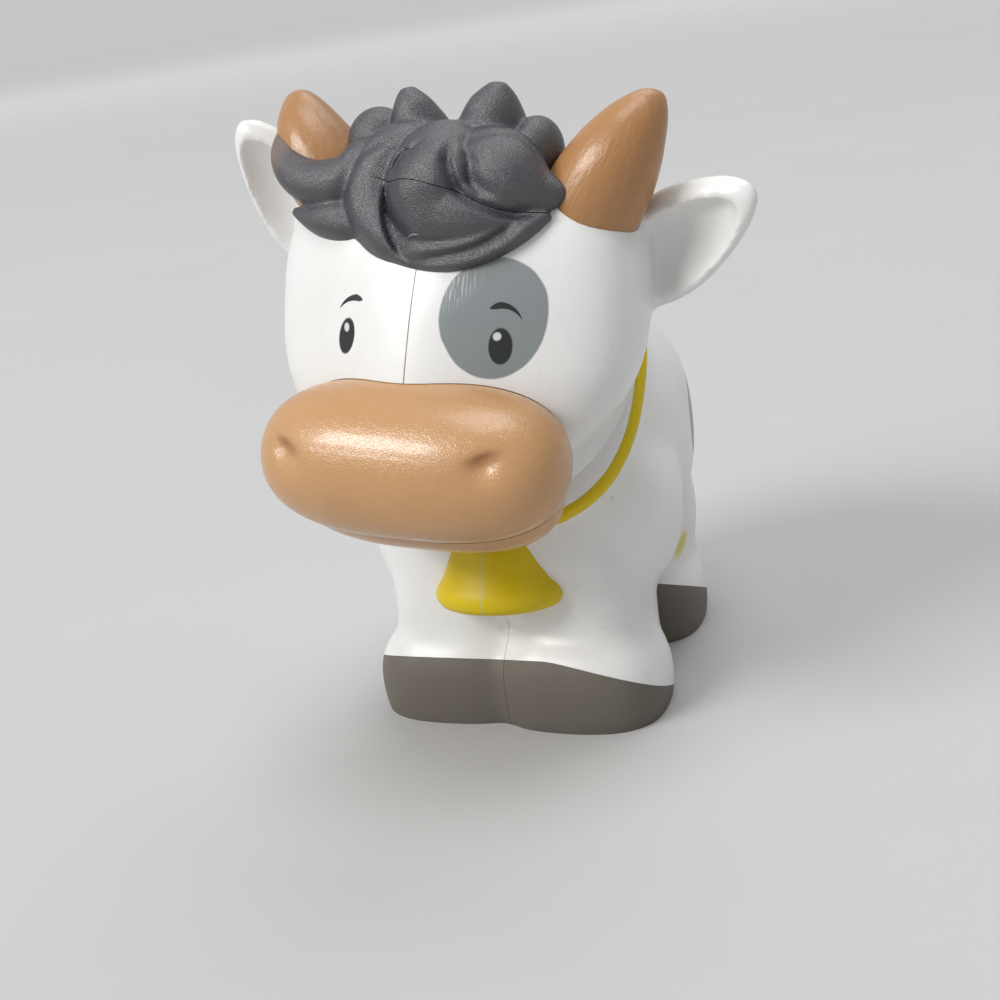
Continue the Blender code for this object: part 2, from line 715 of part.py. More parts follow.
def skull(name, inset, segments, rings):
    """The head without its ears: a squarish egg, narrower at the jowls, whose forehead leans back."""
    shape = bmesh.new()
    bmesh.ops.create_uvsphere(shape, u_segments=segments, v_segments=rings, radius=1.0)
    for vertex in shape.verts:
        x, y, z = (abs(part) for part in vertex.co)
        front = vertex.co.y < 0.0
        depth = HEAD_FRONT_DEPTH if front else HEAD_REAR_DEPTH
        power = HEAD_FRONT_POWER if front else HEAD_REAR_POWER
        section = (x**HEAD_SIDE_POWER + z**HEAD_SIDE_POWER) ** (1.0 / HEAD_SIDE_POWER)
        share = vertex.co / (section**power + y**power) ** (1.0 / power)
        low = max(0.0, -share.z)
        ridge = FACE_RIDGE * math.exp(-((share.x / FACE_RIDGE_SHARE) ** 2)) * max(0.0, -share.y)
        vertex.co = Vector((
            share.x * (HEAD_WIDTH / 2 - inset) * (1.0 - (1.0 - JOWL_WIDTH_SHARE) * low**2),
            HEAD_MIDDLE_Y + share.y * (depth - inset) + share.z * FACE_SLOPE - ridge,
            HEAD_MIDDLE_Z + share.z * (HEAD_HEIGHT / 2 - inset),
        ))
    return from_bmesh(name, shape)


def head_form():
    """The whole head with its ears, solid, down to the slanted end of the neck."""
    pieces = [skull("face", 0.0, SKULL_SEGMENTS, SKULL_RINGS)]
    for side in (-1, 1):
        leaf = ball("ear", (0.0, 0.0, 0.0), (EAR_LENGTH, EAR_THICKNESS, EAR_HEIGHT))
        cup = ball("cup", (0.0, -EAR_THICKNESS / 2, -EAR_CUP_DROP),
                   (EAR_CUP_LENGTH, 2 * EAR_CUP_DEPTH, EAR_CUP_HEIGHT))
        carve(leaf, cup)
        for vertex in leaf.data.vertices:
            along = side * vertex.co.x / (EAR_LENGTH / 2)
            vertex.co.z = vertex.co.z * (1.0 - EAR_TAPER_SHARE * along) + EAR_TIP_LIFT * along
        leaf.data.transform(ear_place(side))
        pieces.append(leaf)
    form = fused("head_form", pieces, HEAD_GRAIN, HEAD_SMOOTHING_STEPS, HEAD_TRIANGLES)
    below = neck_place(CLEARANCE) @ Matrix.Rotation(math.pi, 4, "X")
    return carve(form, half_space("below_head", below, REACH))


def head_hollow():
    hollow = skull("head_hollow", WALL, HOLLOW_SEGMENTS, HOLLOW_RINGS)
    below = neck_place(CLEARANCE + WALL) @ Matrix.Rotation(math.pi, 4, "X")
    return carve(hollow, half_space("head_plate", below, REACH))


def make_snout(tan):
    """The snout with its two nostrils, the jaw below it, and the room that each takes in the head."""
    snout = pill("snout", (0.0, SNOUT_MIDDLE_Y, SNOUT_MIDDLE_Z),
                 (SNOUT_WIDTH, SNOUT_DEPTH, SNOUT_HEIGHT), SNOUT_POWER)
    jaw = pill("jaw", (0.0, SNOUT_MIDDLE_Y + JAW_SETBACK, SNOUT_MIDDLE_Z - JAW_DROP),
               (JAW_WIDTH, JAW_DEPTH, JAW_HEIGHT), SNOUT_POWER)
    rooms = [grown(snout, CLEARANCE), grown(jaw, CLEARANCE)]
    carve(jaw, grown(snout, CLEARANCE))
    largest_body(jaw)
    across = NOSTRIL_SPREAD / (SNOUT_WIDTH / 2)
    up = NOSTRIL_RISE / (SNOUT_HEIGHT / 2)
    round_share = (1.0 - across**SNOUT_POWER) ** (1.0 / SNOUT_POWER)
    front = math.sqrt(round_share**2 - up**2) * SNOUT_DEPTH / 2
    for side in (-1, 1):
        middle = (side * NOSTRIL_SPREAD, SNOUT_MIDDLE_Y - front, SNOUT_MIDDLE_Z + NOSTRIL_RISE)
        dent = ball("nostril", middle, (NOSTRIL_LENGTH, 2 * NOSTRIL_DEPTH, NOSTRIL_HEIGHT),
                    ROUND_POWER, Matrix.Rotation(-side * NOSTRIL_TILT, 4, "Y"))
        carve(snout, dent)
    middle = Matrix.Translation((0.0, SNOUT_MIDDLE_Y, SNOUT_MIDDLE_Z))
    askew = middle @ Matrix.Rotation(-SNOUT_ROLL, 4, "Y") @ middle.inverted()
    for piece in (snout, jaw, *rooms):
        piece.data.transform(askew)
        piece.data.materials.clear()
        piece.data.materials.append(tan)
    return [snout, jaw], rooms


def make_horns(horn_tan):
    horns = []
    for side, word in ((1, "left"), (-1, "right")):
        base = Vector((side * HORN_BASE_SPREAD, HORN_BASE_Y, HORN_BASE_Z))
        out = side * (HORN_TIP_SPREAD - HORN_BASE_SPREAD)
        back = HORN_TIP_Y - HORN_BASE_Y
        points = [base + Vector((out * x, back * y, HORN_HEIGHT * z))
                  for x, y, z, _ in HORN_POINT_SHARES]
        across = [HORN_BASE_DIAMETER * thick for *_, thick in HORN_POINT_SHARES]
        horn = lock(f"horn_{word}", points, across)
        horn.data.materials.clear()
        horn.data.materials.append(horn_tan)
        horns.append(horn)
    return horns


def hair_point(share):
    """A place in the hair's box from its shares."""
    return Vector((
        share[0] * HAIR_WIDTH,
        HAIR_MIDDLE_Y + share[1] * HAIR_DEPTH,
        HAIR_MIDDLE_Z + share[2] * HAIR_HEIGHT,
    ))


def make_hair(form, horns, charcoal):
    """The curls, fused into one moulding and then parted into a fringe and a crown."""
    pieces = []
    for middle, size in HAIR_BALL_SHARES:
        full = (size[0] * HAIR_WIDTH, size[1] * HAIR_DEPTH, size[2] * HAIR_HEIGHT)
        pieces.append(ball("curl", hair_point(middle), full))
    for strand in HAIR_LOCK_SHARES:
        points = [hair_point(place) for place, _ in strand]
        pieces.append(lock("lock", points, [thick * HAIR_HEIGHT for _, thick in strand]))
    hair = fused("hair_fringe", pieces, HAIR_GRAIN, HAIR_SMOOTHING_STEPS, HAIR_TRIANGLES)
    carve(hair, *(grown(horn, CLEARANCE) for horn in horns), grown(form, CLEARANCE))
    below = neck_place(CLEARANCE) @ Matrix.Rotation(math.pi, 4, "X")
    carve(hair, half_space("below_hair", below, REACH))
    largest_body(hair)
    crown = twin(hair, "hair_crown")
    front = HAIR_MIDDLE_Y - HAIR_DEPTH / 2
    slant = Matrix.Rotation(HAIR_PARTING_ROLL, 4, "Y") @ Matrix.Rotation(HAIR_PARTING_RISE, 4, "X")
    parting = Matrix.Translation((0.0, front, HAIR_PARTING_Z)) @ slant
    gap = Matrix.Translation((0.0, 0.0, CLEARANCE))
    carve(hair, half_space("over_parting", parting, REACH))
    carve(crown, half_space("under_parting", parting @ gap @ Matrix.Rotation(math.pi, 4, "X"), REACH))
    for piece in (hair, crown):
        largest_body(piece)
        piece.data.materials.clear()
        piece.data.materials.append(charcoal)
    return [hair, crown]


def make_head_shells(form, rooms, horns, white):
    shells = []
    for side, word in ((1, "left"), (-1, "right")):
        shell = twin(form, f"head_shell_{word}")
        carve(shell, head_hollow())
        carve(shell, *(twin(room, "room") for room in rooms))
        carve(shell, *(grown(horn, CLEARANCE) for horn in horns))
        carve(shell, pin_hole("pin_hole"), side_block("other_side", side))
        largest_body(shell)
        shell.data.materials.clear()
        shell.data.materials.append(white)
        shells.append(shell)
    return shells


def holder(name, parent=None):
    thing = bpy.data.objects.new(name, None)
    bpy.context.scene.collection.objects.link(thing)
    thing.parent = parent
    return thing


def assemble(body_pieces, head_pieces):
    """Parents every piece, turns the head to its rest pose and centres the cow on the origin."""
    base = holder("cow_base")
    neck = holder("neck_axis", base)
    neck.matrix_local = neck_place()
    head = holder("head_turn", neck)
    for piece in body_pieces:
        piece.parent = base
    for piece in head_pieces:
        piece.parent = head
        piece.matrix_parent_inverse = neck_place().inverted()
    head.rotation_euler = (0.0, 0.0, -REST_TURN)
    bpy.context.view_layer.update()
    corners = [piece.matrix_world @ v.co for piece in body_pieces + head_pieces
               for v in piece.data.vertices]
    low = Vector(min(point[axis] for point in corners) for axis in range(3))
    high = Vector(max(point[axis] for point in corners) for axis in range(3))
    base.location = (-(low.x + high.x) / 2, -(low.y + high.y) / 2, -low.z)


def main():
    clear_scene()
    white = plastic("white_plastic", *WHITE)
    tan = plastic("tan_plastic", *TAN)
    horn_tan = plastic("horn_plastic", *HORN_TAN)
    charcoal = plastic("hair_plastic", *CHARCOAL)
    yellow = plastic("yellow_plastic", *YELLOW)
    taupe = plastic("hoof_plastic", *TAUPE)
    rubber = plastic("rubber", *RUBBER)

    body = body_form()
    carve(body, arch_cutter())
    collar = make_collar(body, yellow)
    body_pieces = make_trunk(body, white) + make_hooves(body, taupe)
    body_pieces += [collar, make_bell(body, collar, yellow)]
    body_pieces += make_tail(body, white, charcoal)

    head = head_form()
    snout_pieces, snout_rooms = make_snout(tan)
    horns = make_horns(horn_tan)
    pin, ring = make_pin(white, rubber)
    head_pieces = make_head_shells(head, snout_rooms, horns, white)
    head_pieces += make_hair(head, horns, charcoal) + snout_pieces + horns + [pin]
    body_pieces.append(ring)
    for form in (body, head, *snout_rooms):
        bpy.data.objects.remove(form, do_unlink=True)
    for piece in body_pieces + head_pieces:
        piece.data.shade_smooth()
        piece.data.set_sharp_from_angle(angle=SHARP_EDGE_ANGLE)
    assemble(body_pieces, head_pieces)


main()
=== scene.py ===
"""The looks of the toy cow figure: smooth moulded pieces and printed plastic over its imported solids."""

import json
import math

import bpy
import numpy as np
from mathutils import Matrix, Vector


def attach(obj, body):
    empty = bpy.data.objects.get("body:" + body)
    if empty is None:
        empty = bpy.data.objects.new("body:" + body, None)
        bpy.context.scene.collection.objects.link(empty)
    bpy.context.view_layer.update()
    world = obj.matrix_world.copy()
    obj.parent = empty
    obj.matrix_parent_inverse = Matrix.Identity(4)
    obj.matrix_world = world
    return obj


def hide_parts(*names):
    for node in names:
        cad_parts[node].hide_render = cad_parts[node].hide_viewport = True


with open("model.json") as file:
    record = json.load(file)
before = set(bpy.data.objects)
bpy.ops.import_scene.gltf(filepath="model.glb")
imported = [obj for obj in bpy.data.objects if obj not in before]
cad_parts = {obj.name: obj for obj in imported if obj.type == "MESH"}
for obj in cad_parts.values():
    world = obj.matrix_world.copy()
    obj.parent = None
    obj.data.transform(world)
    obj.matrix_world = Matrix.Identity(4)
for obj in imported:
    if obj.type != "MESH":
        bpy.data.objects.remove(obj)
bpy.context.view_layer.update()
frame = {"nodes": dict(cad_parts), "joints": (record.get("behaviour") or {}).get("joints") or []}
nodes = frame["nodes"]

MM = 0.001
# Points closer than this are one, and the sheets that cut hooves and hair are this wide
DOUBLES = 0.002
SHEET_WIDTH = 60.0

# The neck, which the head turns on. All shapes below are made on the cow with its head straight
PIVOT = Vector((0.0, -9.1, 40.5)) * MM
REST_TURN = math.radians(-8.0)
hinge = next(joint for joint in frame["joints"] if joint["name"] == "head_turn")
hinge_point = Vector(hinge["pos_m"])
neck_axis = Vector(hinge["axis"])
NECK_SLANT = math.radians(45.0)
BODY_PLACE = Matrix.Translation(hinge_point - PIVOT)
HEAD_PLACE = (
    Matrix.Translation(hinge_point)
    @ Matrix.Rotation(REST_TURN, 4, neck_axis)
    @ Matrix.Translation(-PIVOT)
)
NECK_GAP = 0.3
BODY_SEAM = 0.05
FACE_SEAM = 0.08
WALL = 1.8
# The room left round a piece that another one is cut to take
BODY_FIT = 0.02
HOOF_FIT = 0.04
HAIR_FIT = 0.03
HORN_FIT = 0.05
LIP_FIT = 0.03
SNOUT_FIT = 0.07

# Body: middle, full size and squareness of each mass
BODY_MASSES = (
    ((0.0, 5.0, 28.7), (38.0, 40.0, 36.5), 2.5),
    ((0.0, -5.2, 22.8), (39.8, 29.0, 28.0), 2.5),
)
LEG_SIZE = (16.5, 17.5, 30.0)
LEG_SPREAD = 8.1
# Of each pair: the legs' place along the cow, and where each foot stands and how big it is
LEG_PAIRS = (
    (-10.0, {1: ((7.9, -13.9, 3.4), (22.0, 17.4, 16.4)), -1: ((8.2, -12.8, 3.0), (22.2, 17.4, 17.0))}),
    (11.4, {1: ((7.9, 9.2, 3.4), (20.4, 17.4, 16.0)), -1: ((7.9, 9.2, 3.4), (20.4, 17.4, 16.0))}),
)
THIGH_MIDDLE = (9.4, 11.2, 16.0)
THIGH_SIZE = (15.8, 18.5, 20.0)
NECK_SIZE = (34.4, 35.8, 48.0)
LEG_POWER = 3.0
FOOT_POWER = 2.8
THIGH_POWER = 2.4
NECK_POWER = 2.6
# The neck narrows toward the head: how far it rises over the plane where the head parts from it,
# and its radius low and high
NECK_CONE = (2.1, 17.2, 15.4)
SHOULDER_DROP = 1.25
THROAT_SIZE = (30.8, 32.2, 24.0)
PIN_HOLE_RADIUS = 4.3
ARCH_WIDTH = 5.6
ARCH_HEIGHT = 10.0
ARCH_Y = -2.2

# Each pair of hooves: its toe and its far end along the cow, and the fall of its top for each
# millimetre out to the left and to the right
HOOF_PAIRS = (("front", -22.6, -32.0, (0.25, 0.0)), ("rear", 0.5, 30.0, (0.05, 0.05)))
HOOF_TOP = 9.9
HOOF_SLOPE = 0.5
HOOF_LEVEL_WIDTH = 5.0

# Collar, bell and tail. Outlines are (radius, height) pairs
COLLAR_ALONG = -2.2
COLLAR_RADIUS = 0.95
BELL_OUTLINE = (
    (0.0, 0.0), (6.6, 0.0), (7.4, 0.3), (7.95, 1.0), (8.1, 1.8), (7.8, 2.6), (7.1, 3.5),
    (6.3, 5.4), (5.6, 7.6), (5.1, 8.9), (4.2, 9.6), (0.0, 9.8),
)
BELL_PLACE = (0.3, -18.5, 15.5)
BELL_LEAN = math.radians(-10.0)
BELL_DEPTH = 0.8
TAIL_DROP = 13.0
TAIL_THICKNESS = 3.4
TAIL_ROOT = ((0.0, -3.2, 1.6), 2.4)
# The brush at the tail's end: how far down, and the thickness there
TAIL_BRUSH = ((0.0, 3.4), (2.5, 5.6), (5.0, 6.4), (8.0, 5.0), (10.0, 1.4))

# Head
HEAD_WIDTH = 43.6
HEAD_HEIGHT = 35.0
HEAD_FRONT_DEPTH = 9.6
HEAD_REAR_DEPTH = 19.5
HEAD_MIDDLE = (-17.5, 50.8)
HEAD_SQUARENESS = 3.3
FACE_POWER = 2.6
NAPE_POWER = 2.1
FACE_SLOPE = 4.0
FACE_RIDGE = 2.6
FACE_RIDGE_WIDTH = 0.42
JOWL_SHARE = 0.68
JOWL_SHIFT = 0.35
EAR_SIZE = (22.0, 4.6, 11.2)
EAR_CUP_SIZE = (17.4, 6.6, 9.0)
EAR_CUP_SHIFT = (0.7, -1.3)
EAR_CUP_TILT = math.radians(-20.0)
EAR_TAPER = 0.26
EAR_LIFT = 1.0
EAR_ROOT = (20.0, -10.0, 57.4)
EAR_FORWARD = math.radians(16.0)
EAR_REACH_AND_RISE = {1: (15.9, math.radians(27.0)), -1: (17.8, math.radians(50.0))}
RIGHT_EAR_ROOT = ((-18.6, -12.0, 58.6), (11.0, 9.0, 12.0))

# Snout
SNOUT_MIDDLE = (0.2, -30.8, 38.7)
SNOUT_SIZE = (36.4, 16.4, 17.2)
SNOUT_LEAN = 0.10
SNOUT_ROLL = math.radians(2.4)
JAW_MIDDLE = (0.6, -29.4, 35.3)
JAW_SIZE = (32.6, 13.4, 14.8)
SNOUT_POWER = 2.7
NOSTRIL = (11.9, 2.7)
NOSTRIL_TILT = math.radians(18.0)
# The pit of a nostril: depth, half length, and half height above and below
PIT = (0.55, 1.5, 0.6, 1.3)
# The shallow dish below it: depth, half length, half height, and how far it lies below the pit
DISH = (0.42, 2.1, 1.7, 1.1)

# Horns: points from the base to the tip, then the thickness there
HORN_POINTS = (
    ((13.4, -15.1, 59.0), 4.0),
    ((13.6, -15.1, 59.7), 7.8),
    ((14.2, -15.1, 61.2), 10.2),
    ((15.5, -15.0, 63.6), 11.4),
    ((17.2, -14.8, 66.4), 10.9),
    ((18.9, -14.4, 69.3), 9.5),
    ((20.3, -13.6, 71.7), 7.4),
    ((21.5, -12.6, 73.5), 5.0),
    ((22.3, -12.0, 74.4), 3.0),
    ((22.7, -11.7, 74.8), 0.8),
)

# Which way the horns lean: outward and up
HORN_LEAN = (0.47, 0.88)
# How far the right horn's foot tucks in under the flicked locks, for each millimetre below this height
HORN_TUCK = {1: 0.0, -1: 0.36}
HORN_TUCK_HEIGHT = 66.8

# Hair: balls as middle and size, and locks as points along each with the thickness there
HAIR_BALLS = (
    ((0.0, -11.0, 63.0), (27.0, 24.0, 14.0)),
    ((0.8, -19.0, 66.2), (12.6, 13.0, 13.6)),
    ((9.4, -14.6, 69.1), (5.8, 7.0, 7.6)),
    ((-9.8, -14.8, 69.8), (7.4, 7.6, 8.0)),
    ((0.0, -4.0, 61.5), (22.0, 14.0, 12.0)),
    ((-8.6, -19.2, 66.4), (9.0, 7.6, 9.4)),
)
HAIR_LOCKS = (
    # The forelock
    (((1.2, -17.6, 68.6), 9.0), ((1.0, -19.6, 67.4), 12.4), ((1.0, -21.2, 65.2), 13.0),
     ((1.8, -22.4, 63.2), 11.0), ((2.8, -23.6, 61.6), 8.2)),
    # Its sweep to the left horn
    (((1.2, -21.6, 64.0), 11.0), ((4.4, -21.9, 63.7), 10.0), ((7.4, -21.8, 63.6), 8.0),
     ((10.0, -21.4, 63.8), 5.2), ((12.4, -20.8, 64.2), 2.0)),
    # The right curl
    (((-1.0, -14.5, 68.6), 5.0), ((-3.0, -16.6, 69.6), 7.0), ((-5.4, -18.2, 68.8), 7.8),
     ((-6.9, -19.6, 67.2), 8.0), ((-7.1, -20.8, 65.2), 8.0), ((-6.4, -22.0, 63.4), 7.6),
     ((-4.9, -23.2, 61.9), 6.8), ((-2.8, -24.2, 60.7), 5.4), ((-0.8, -24.9, 59.9), 3.6)),
    # The left curl and its tip
    (((2.6, -17.4, 69.0), 6.0), ((5.8, -19.0, 68.2), 9.6), ((8.6, -19.9, 67.0), 9.4),
     ((11.2, -20.0, 65.9), 6.8), ((13.2, -19.8, 65.6), 4.2), ((15.0, -19.6, 65.8), 1.4)),
    # The roll under the forelock
    (((-2.9, -24.8, 60.3), 3.4), ((0.0, -25.3, 59.9), 3.8), ((3.8, -25.4, 60.0), 3.8),
     ((7.1, -24.8, 60.8), 3.6), ((9.8, -23.8, 61.9), 3.2), ((11.9, -22.5, 63.1), 2.6),
     ((13.6, -21.3, 63.9), 1.2)),
    # The locks that flick out to the right
    (((-6.9, -20.0, 66.6), 7.4), ((-10.5, -20.4, 66.4), 6.4), ((-13.4, -20.6, 66.1), 5.6),
     ((-16.4, -20.3, 66.2), 5.0), ((-19.3, -19.2, 67.4), 4.4), ((-21.2, -17.8, 69.5), 3.0),
     ((-21.9, -16.8, 70.9), 1.0)),
    (((-6.2, -22.0, 63.0), 6.4), ((-9.6, -22.0, 62.6), 5.8), ((-13.0, -21.8, 62.4), 4.8),
     ((-15.9, -21.2, 62.5), 3.0), ((-18.6, -20.4, 62.9), 1.0)),
    # The two spikes
    (((4.0, -14.9, 67.6), 9.4), ((4.3, -14.9, 70.6), 8.8), ((4.9, -15.2, 73.6), 6.6),
     ((5.3, -15.2, 75.4), 4.2), ((5.4, -15.2, 76.4), 1.6)),
    (((-4.0, -14.9, 67.6), 8.4), ((-4.3, -14.9, 70.4), 7.8), ((-5.0, -15.2, 73.2), 5.4),
     ((-5.5, -15.2, 74.9), 3.6), ((-5.7, -15.2, 75.9), 1.4)),
)
# Creases between the curls, pressed in along HAIR_FRONT: points, depth, and how far the crease
# reaches to the left and to the right of its stroke
HAIR_FRONT = Vector((0.418, -0.825, 0.381)).normalized()
HAIR_CREASES = (
    # Right curl against the forelock
    (((0.4, -23.4, 71.9), (-0.6, -24.3, 71.1), (-2.0, -24.4, 70.3), (-2.8, -24.9, 68.8),
      (-4.2, -23.5, 67.0), (-4.2, -24.3, 65.5), (-4.2, -24.8, 63.7), (-3.0, -26.2, 61.9),
      (-1.3, -27.2, 60.5), (0.2, -27.5, 59.4)), 1.0, 1.3, 0.35),
    # Flicked locks against the right curl
    (((-4.7, -21.0, 71.4), (-6.2, -21.9, 70.9), (-7.9, -22.6, 70.2), (-9.1, -23.9, 67.8),
      (-9.8, -24.4, 65.4), (-8.4, -25.6, 63.1), (-6.9, -26.2, 61.6), (-4.5, -26.8, 60.1)), 0.7, 0.5, 1.2),
    # Forelock against the left curl
    (((3.7, -23.0, 71.4), (3.6, -24.4, 70.2), (4.1, -25.1, 68.9), (4.7, -25.2, 67.3),
      (5.6, -24.9, 66.1), (7.5, -24.6, 65.3), (9.3, -24.2, 64.6), (11.2, -23.5, 64.4),
      (12.6, -22.4, 64.2)), 0.9, 0.45, 0.8),
    # The fold in the left curl
    (((4.7, -22.8, 70.8), (5.7, -23.2, 69.7), (5.8, -24.0, 68.2), (6.5, -24.3, 66.6), (7.9, -24.4, 65.7)),
     0.45, 0.8, 0.5),
    # The left curl against the mounds behind
    (((4.1, -22.9, 71.2), (5.5, -20.7, 71.5), (7.6, -19.3, 71.5), (9.0, -18.1, 70.9), (10.9, -18.3, 69.6),
      (12.2, -19.8, 68.0), (13.4, -20.1, 66.8)), 0.5, 0.7, 0.5),
    # Under the forelock's edge
    (((-0.4, -27.0, 60.2), (1.7, -27.3, 60.1), (3.9, -27.1, 60.5), (6.0, -26.7, 60.9), (8.0, -26.0, 61.6),
      (9.7, -24.8, 62.7), (11.4, -23.5, 63.7)), 0.9, 0.4, 1.1),
)
# The parting across the curls: how high it runs at y = PARTING_Y for each x, and its fall toward the back
PARTING_LINE = (
    (-30.0, 76.0), (-10.6, 76.0), (-9.3, 70.2), (-8.6, 68.5), (-5.7, 68.3), (-3.6, 67.7), (-2.9, 67.7),
    (-1.9, 68.0), (0.8, 67.9), (2.9, 67.4), (4.6, 67.0), (6.2, 66.2), (7.5, 65.7), (8.5, 65.3),
    (11.2, 65.1), (13.4, 65.2), (30.0, 65.4),
)
PARTING_Y = -26.0
PARTING_FALL = 0.268
PARTING_GAP = 0.09
# The hairline opens between these two places, from almost shut to the whole gap
PARTING_FADE = (-6.6, -5.2)
PARTING_SHUT = 0.04


def pick(*things):
    """Selects these and nothing else, and makes the last one active."""
    bpy.ops.object.select_all(action="DESELECT")
    for thing in things:
        thing.select_set(True)
    bpy.context.view_layer.objects.active = things[-1]


def settle(thing):
    """Applies the piece's modifiers in their order."""
    pick(thing)
    for modifier in list(thing.modifiers):
        bpy.ops.object.modifier_apply(modifier=modifier.name)
    return thing


def placed(thing, matrix):
    """Moves the piece's mesh, and leaves its object at the origin."""
    thing.matrix_world = matrix @ thing.matrix_world
    pick(thing)
    bpy.ops.object.transform_apply()
    return thing


def twin(thing, name):
    pick(thing)
    bpy.ops.object.duplicate()
    other = bpy.context.active_object
    other.name = name
    return other


def drop(*things):
    for thing in things:
        bpy.data.objects.remove(thing, do_unlink=True)


def ball(name, middle, size, power=2.0, detail=64):
    """A ball of the given full size in millimetres. A power over 2 squares it."""
    bpy.ops.mesh.primitive_uv_sphere_add(segments=detail, ring_count=detail // 2, radius=1.0)
    thing = bpy.context.active_object
    thing.name = name
    for vertex in thing.data.vertices:
        x, y, z = (abs(part) for part in vertex.co)
        vertex.co /= (x**power + y**power + z**power) ** (1.0 / power)
    half = Matrix.Diagonal((*(full * MM / 2 for full in size), 1.0))
    return placed(thing, Matrix.Translation(Vector(middle) * MM) @ half)


def block(name, low, high, turn=Matrix.Identity(4)):
    """A plain box between two corners in millimetres, used to cut with."""
    low, high = Vector(low) * MM, Vector(high) * MM
    bpy.ops.mesh.primitive_cube_add(size=1.0)
    thing = bpy.context.active_object
    thing.name = name
    stretch = Matrix.Diagonal((*(high - low), 1.0))
    return placed(thing, turn @ Matrix.Translation((low + high) / 2) @ stretch)


def fused(name, pieces, grain, smoothing, levels=0):
    """One skin round overlapping pieces, of quads as big as the grain, with its creases softened."""
    pick(*pieces)
    bpy.ops.object.join()
    skin = bpy.context.active_object
    skin.name = name
    wrap = skin.modifiers.new("Wrap", "REMESH")
    wrap.mode = "VOXEL"
    wrap.voxel_size = grain * MM
    soften = skin.modifiers.new("Soften", "SMOOTH")
    soften.factor = 0.5
    soften.iterations = smoothing
    if levels:
        finer = skin.modifiers.new("Finer", "SUBSURF")
        finer.levels = levels
        finer.render_levels = levels
    return settle(skin)


def softened(thing, spots, rounds):
    """Smooths the skin round each (middle, reach) in millimetres, less toward its edge."""
    group = thing.vertex_groups.new(name="soft")
    for vertex in thing.data.vertices:
        weight = max(
            1.0 - (vertex.co - Vector(middle) * MM).length / (reach * MM)
            for middle, reach in spots
        )
        if weight > 0.0:
            group.add([vertex.index], min(1.0, 2.0 * weight), "REPLACE")
    soften = thing.modifiers.new("Soften", "SMOOTH")
    soften.factor = 0.5
    soften.iterations = rounds
    soften.vertex_group = group.name
    settle(thing)
    thing.vertex_groups.clear()
    return thing


def cut(thing, *tools, operation="DIFFERENCE"):
    """Cuts the piece with each tool in turn, and removes the tools."""
    for tool in tools:
        knife = thing.modifiers.new("Cut", "BOOLEAN")
        knife.operation = operation
        knife.solver = "MANIFOLD"
        knife.object = tool
        settle(thing)
        drop(tool)
    return thing


def swollen(thing, distance):
    """A copy with its skin moved out by a distance in millimetres."""
    copy = twin(thing, "swollen")
    move = copy.modifiers.new("Move", "DISPLACE")
    move.strength = distance * MM
    move.mid_level = 0.0
    return settle(copy)


def sliced(thing, point, normal):
    """Takes away what lies on the normal's side of a plane, and closes the cut."""
    facing = Vector(normal).to_track_quat("Z", "Y").to_matrix().to_4x4()
    past = block("past", (-90.0, -90.0, 0.0), (90.0, 90.0, 90.0), Matrix.Translation(point) @ facing)
    return cut(thing, past)


def halves(form, names, gap):
    """The left and the right half of a form, with a hairline seam on the middle plane."""
    made = []
    for side, name in zip((1, -1), names):
        half = twin(form, name)
        sliced(half, (side * gap * MM / 2, 0.0, 0.0), (-side, 0.0, 0.0))
        made.append(half)
    drop(form)
    return made


def closed(thing):
    """Merges the doubles of a skin, and turns its faces outwards."""
    pick(thing)
    bpy.ops.object.mode_set(mode="EDIT")
    bpy.ops.mesh.select_all(action="SELECT")
    bpy.ops.mesh.remove_doubles(threshold=DOUBLES * MM)
    bpy.ops.mesh.normals_make_consistent(inside=False)
    bpy.ops.object.mode_set(mode="OBJECT")
    return thing


def lock(name, points, rings=8):
    """A tube through (point, thickness) pairs in millimetres, rounded along its length."""
    data = bpy.data.curves.new(name, "CURVE")
    data.dimensions = "3D"
    data.bevel_depth = MM
    data.bevel_resolution = rings
    data.resolution_u = 12
    data.use_fill_caps = True
    spline = data.splines.new("NURBS")
    spline.points.add(len(points) - 1)
    for knot, (place, across) in zip(spline.points, points):
        knot.co = (*(Vector(place) * MM), 1.0)
        knot.radius = across / 2
    spline.order_u = 3
    spline.use_endpoint_u = True
    thing = bpy.data.objects.new(name, data)
    bpy.context.collection.objects.link(thing)
    pick(thing)
    bpy.ops.object.convert(target="MESH")
    return closed(thing)


def turned(name, outline, place, steps=96):
    """A solid spun about the Z of its place from (radius, height) pairs in millimetres."""
    mesh = bpy.data.meshes.new(name)
    points = [(radius * MM, 0.0, height * MM) for radius, height in outline]
    mesh.from_pydata(points, [(n, n + 1) for n in range(len(points) - 1)], [])
    thing = bpy.data.objects.new(name, mesh)
    bpy.context.collection.objects.link(thing)
    pick(thing)
    bpy.ops.object.mode_set(mode="EDIT")
    bpy.ops.mesh.select_all(action="SELECT")
    bpy.ops.mesh.spin(steps=steps, angle=2.0 * math.pi, center=(0.0, 0.0, 0.0), axis=(0.0, 0.0, 1.0))
    bpy.ops.object.mode_set(mode="OBJECT")
    return placed(closed(thing), place)


def rod(name, radius, half_length, place):
    """A plain round bar, used to cut with."""
    outline = ((0.0, -half_length), (radius, -half_length), (radius, half_length), (0.0, half_length))
    return turned(name, outline, place)


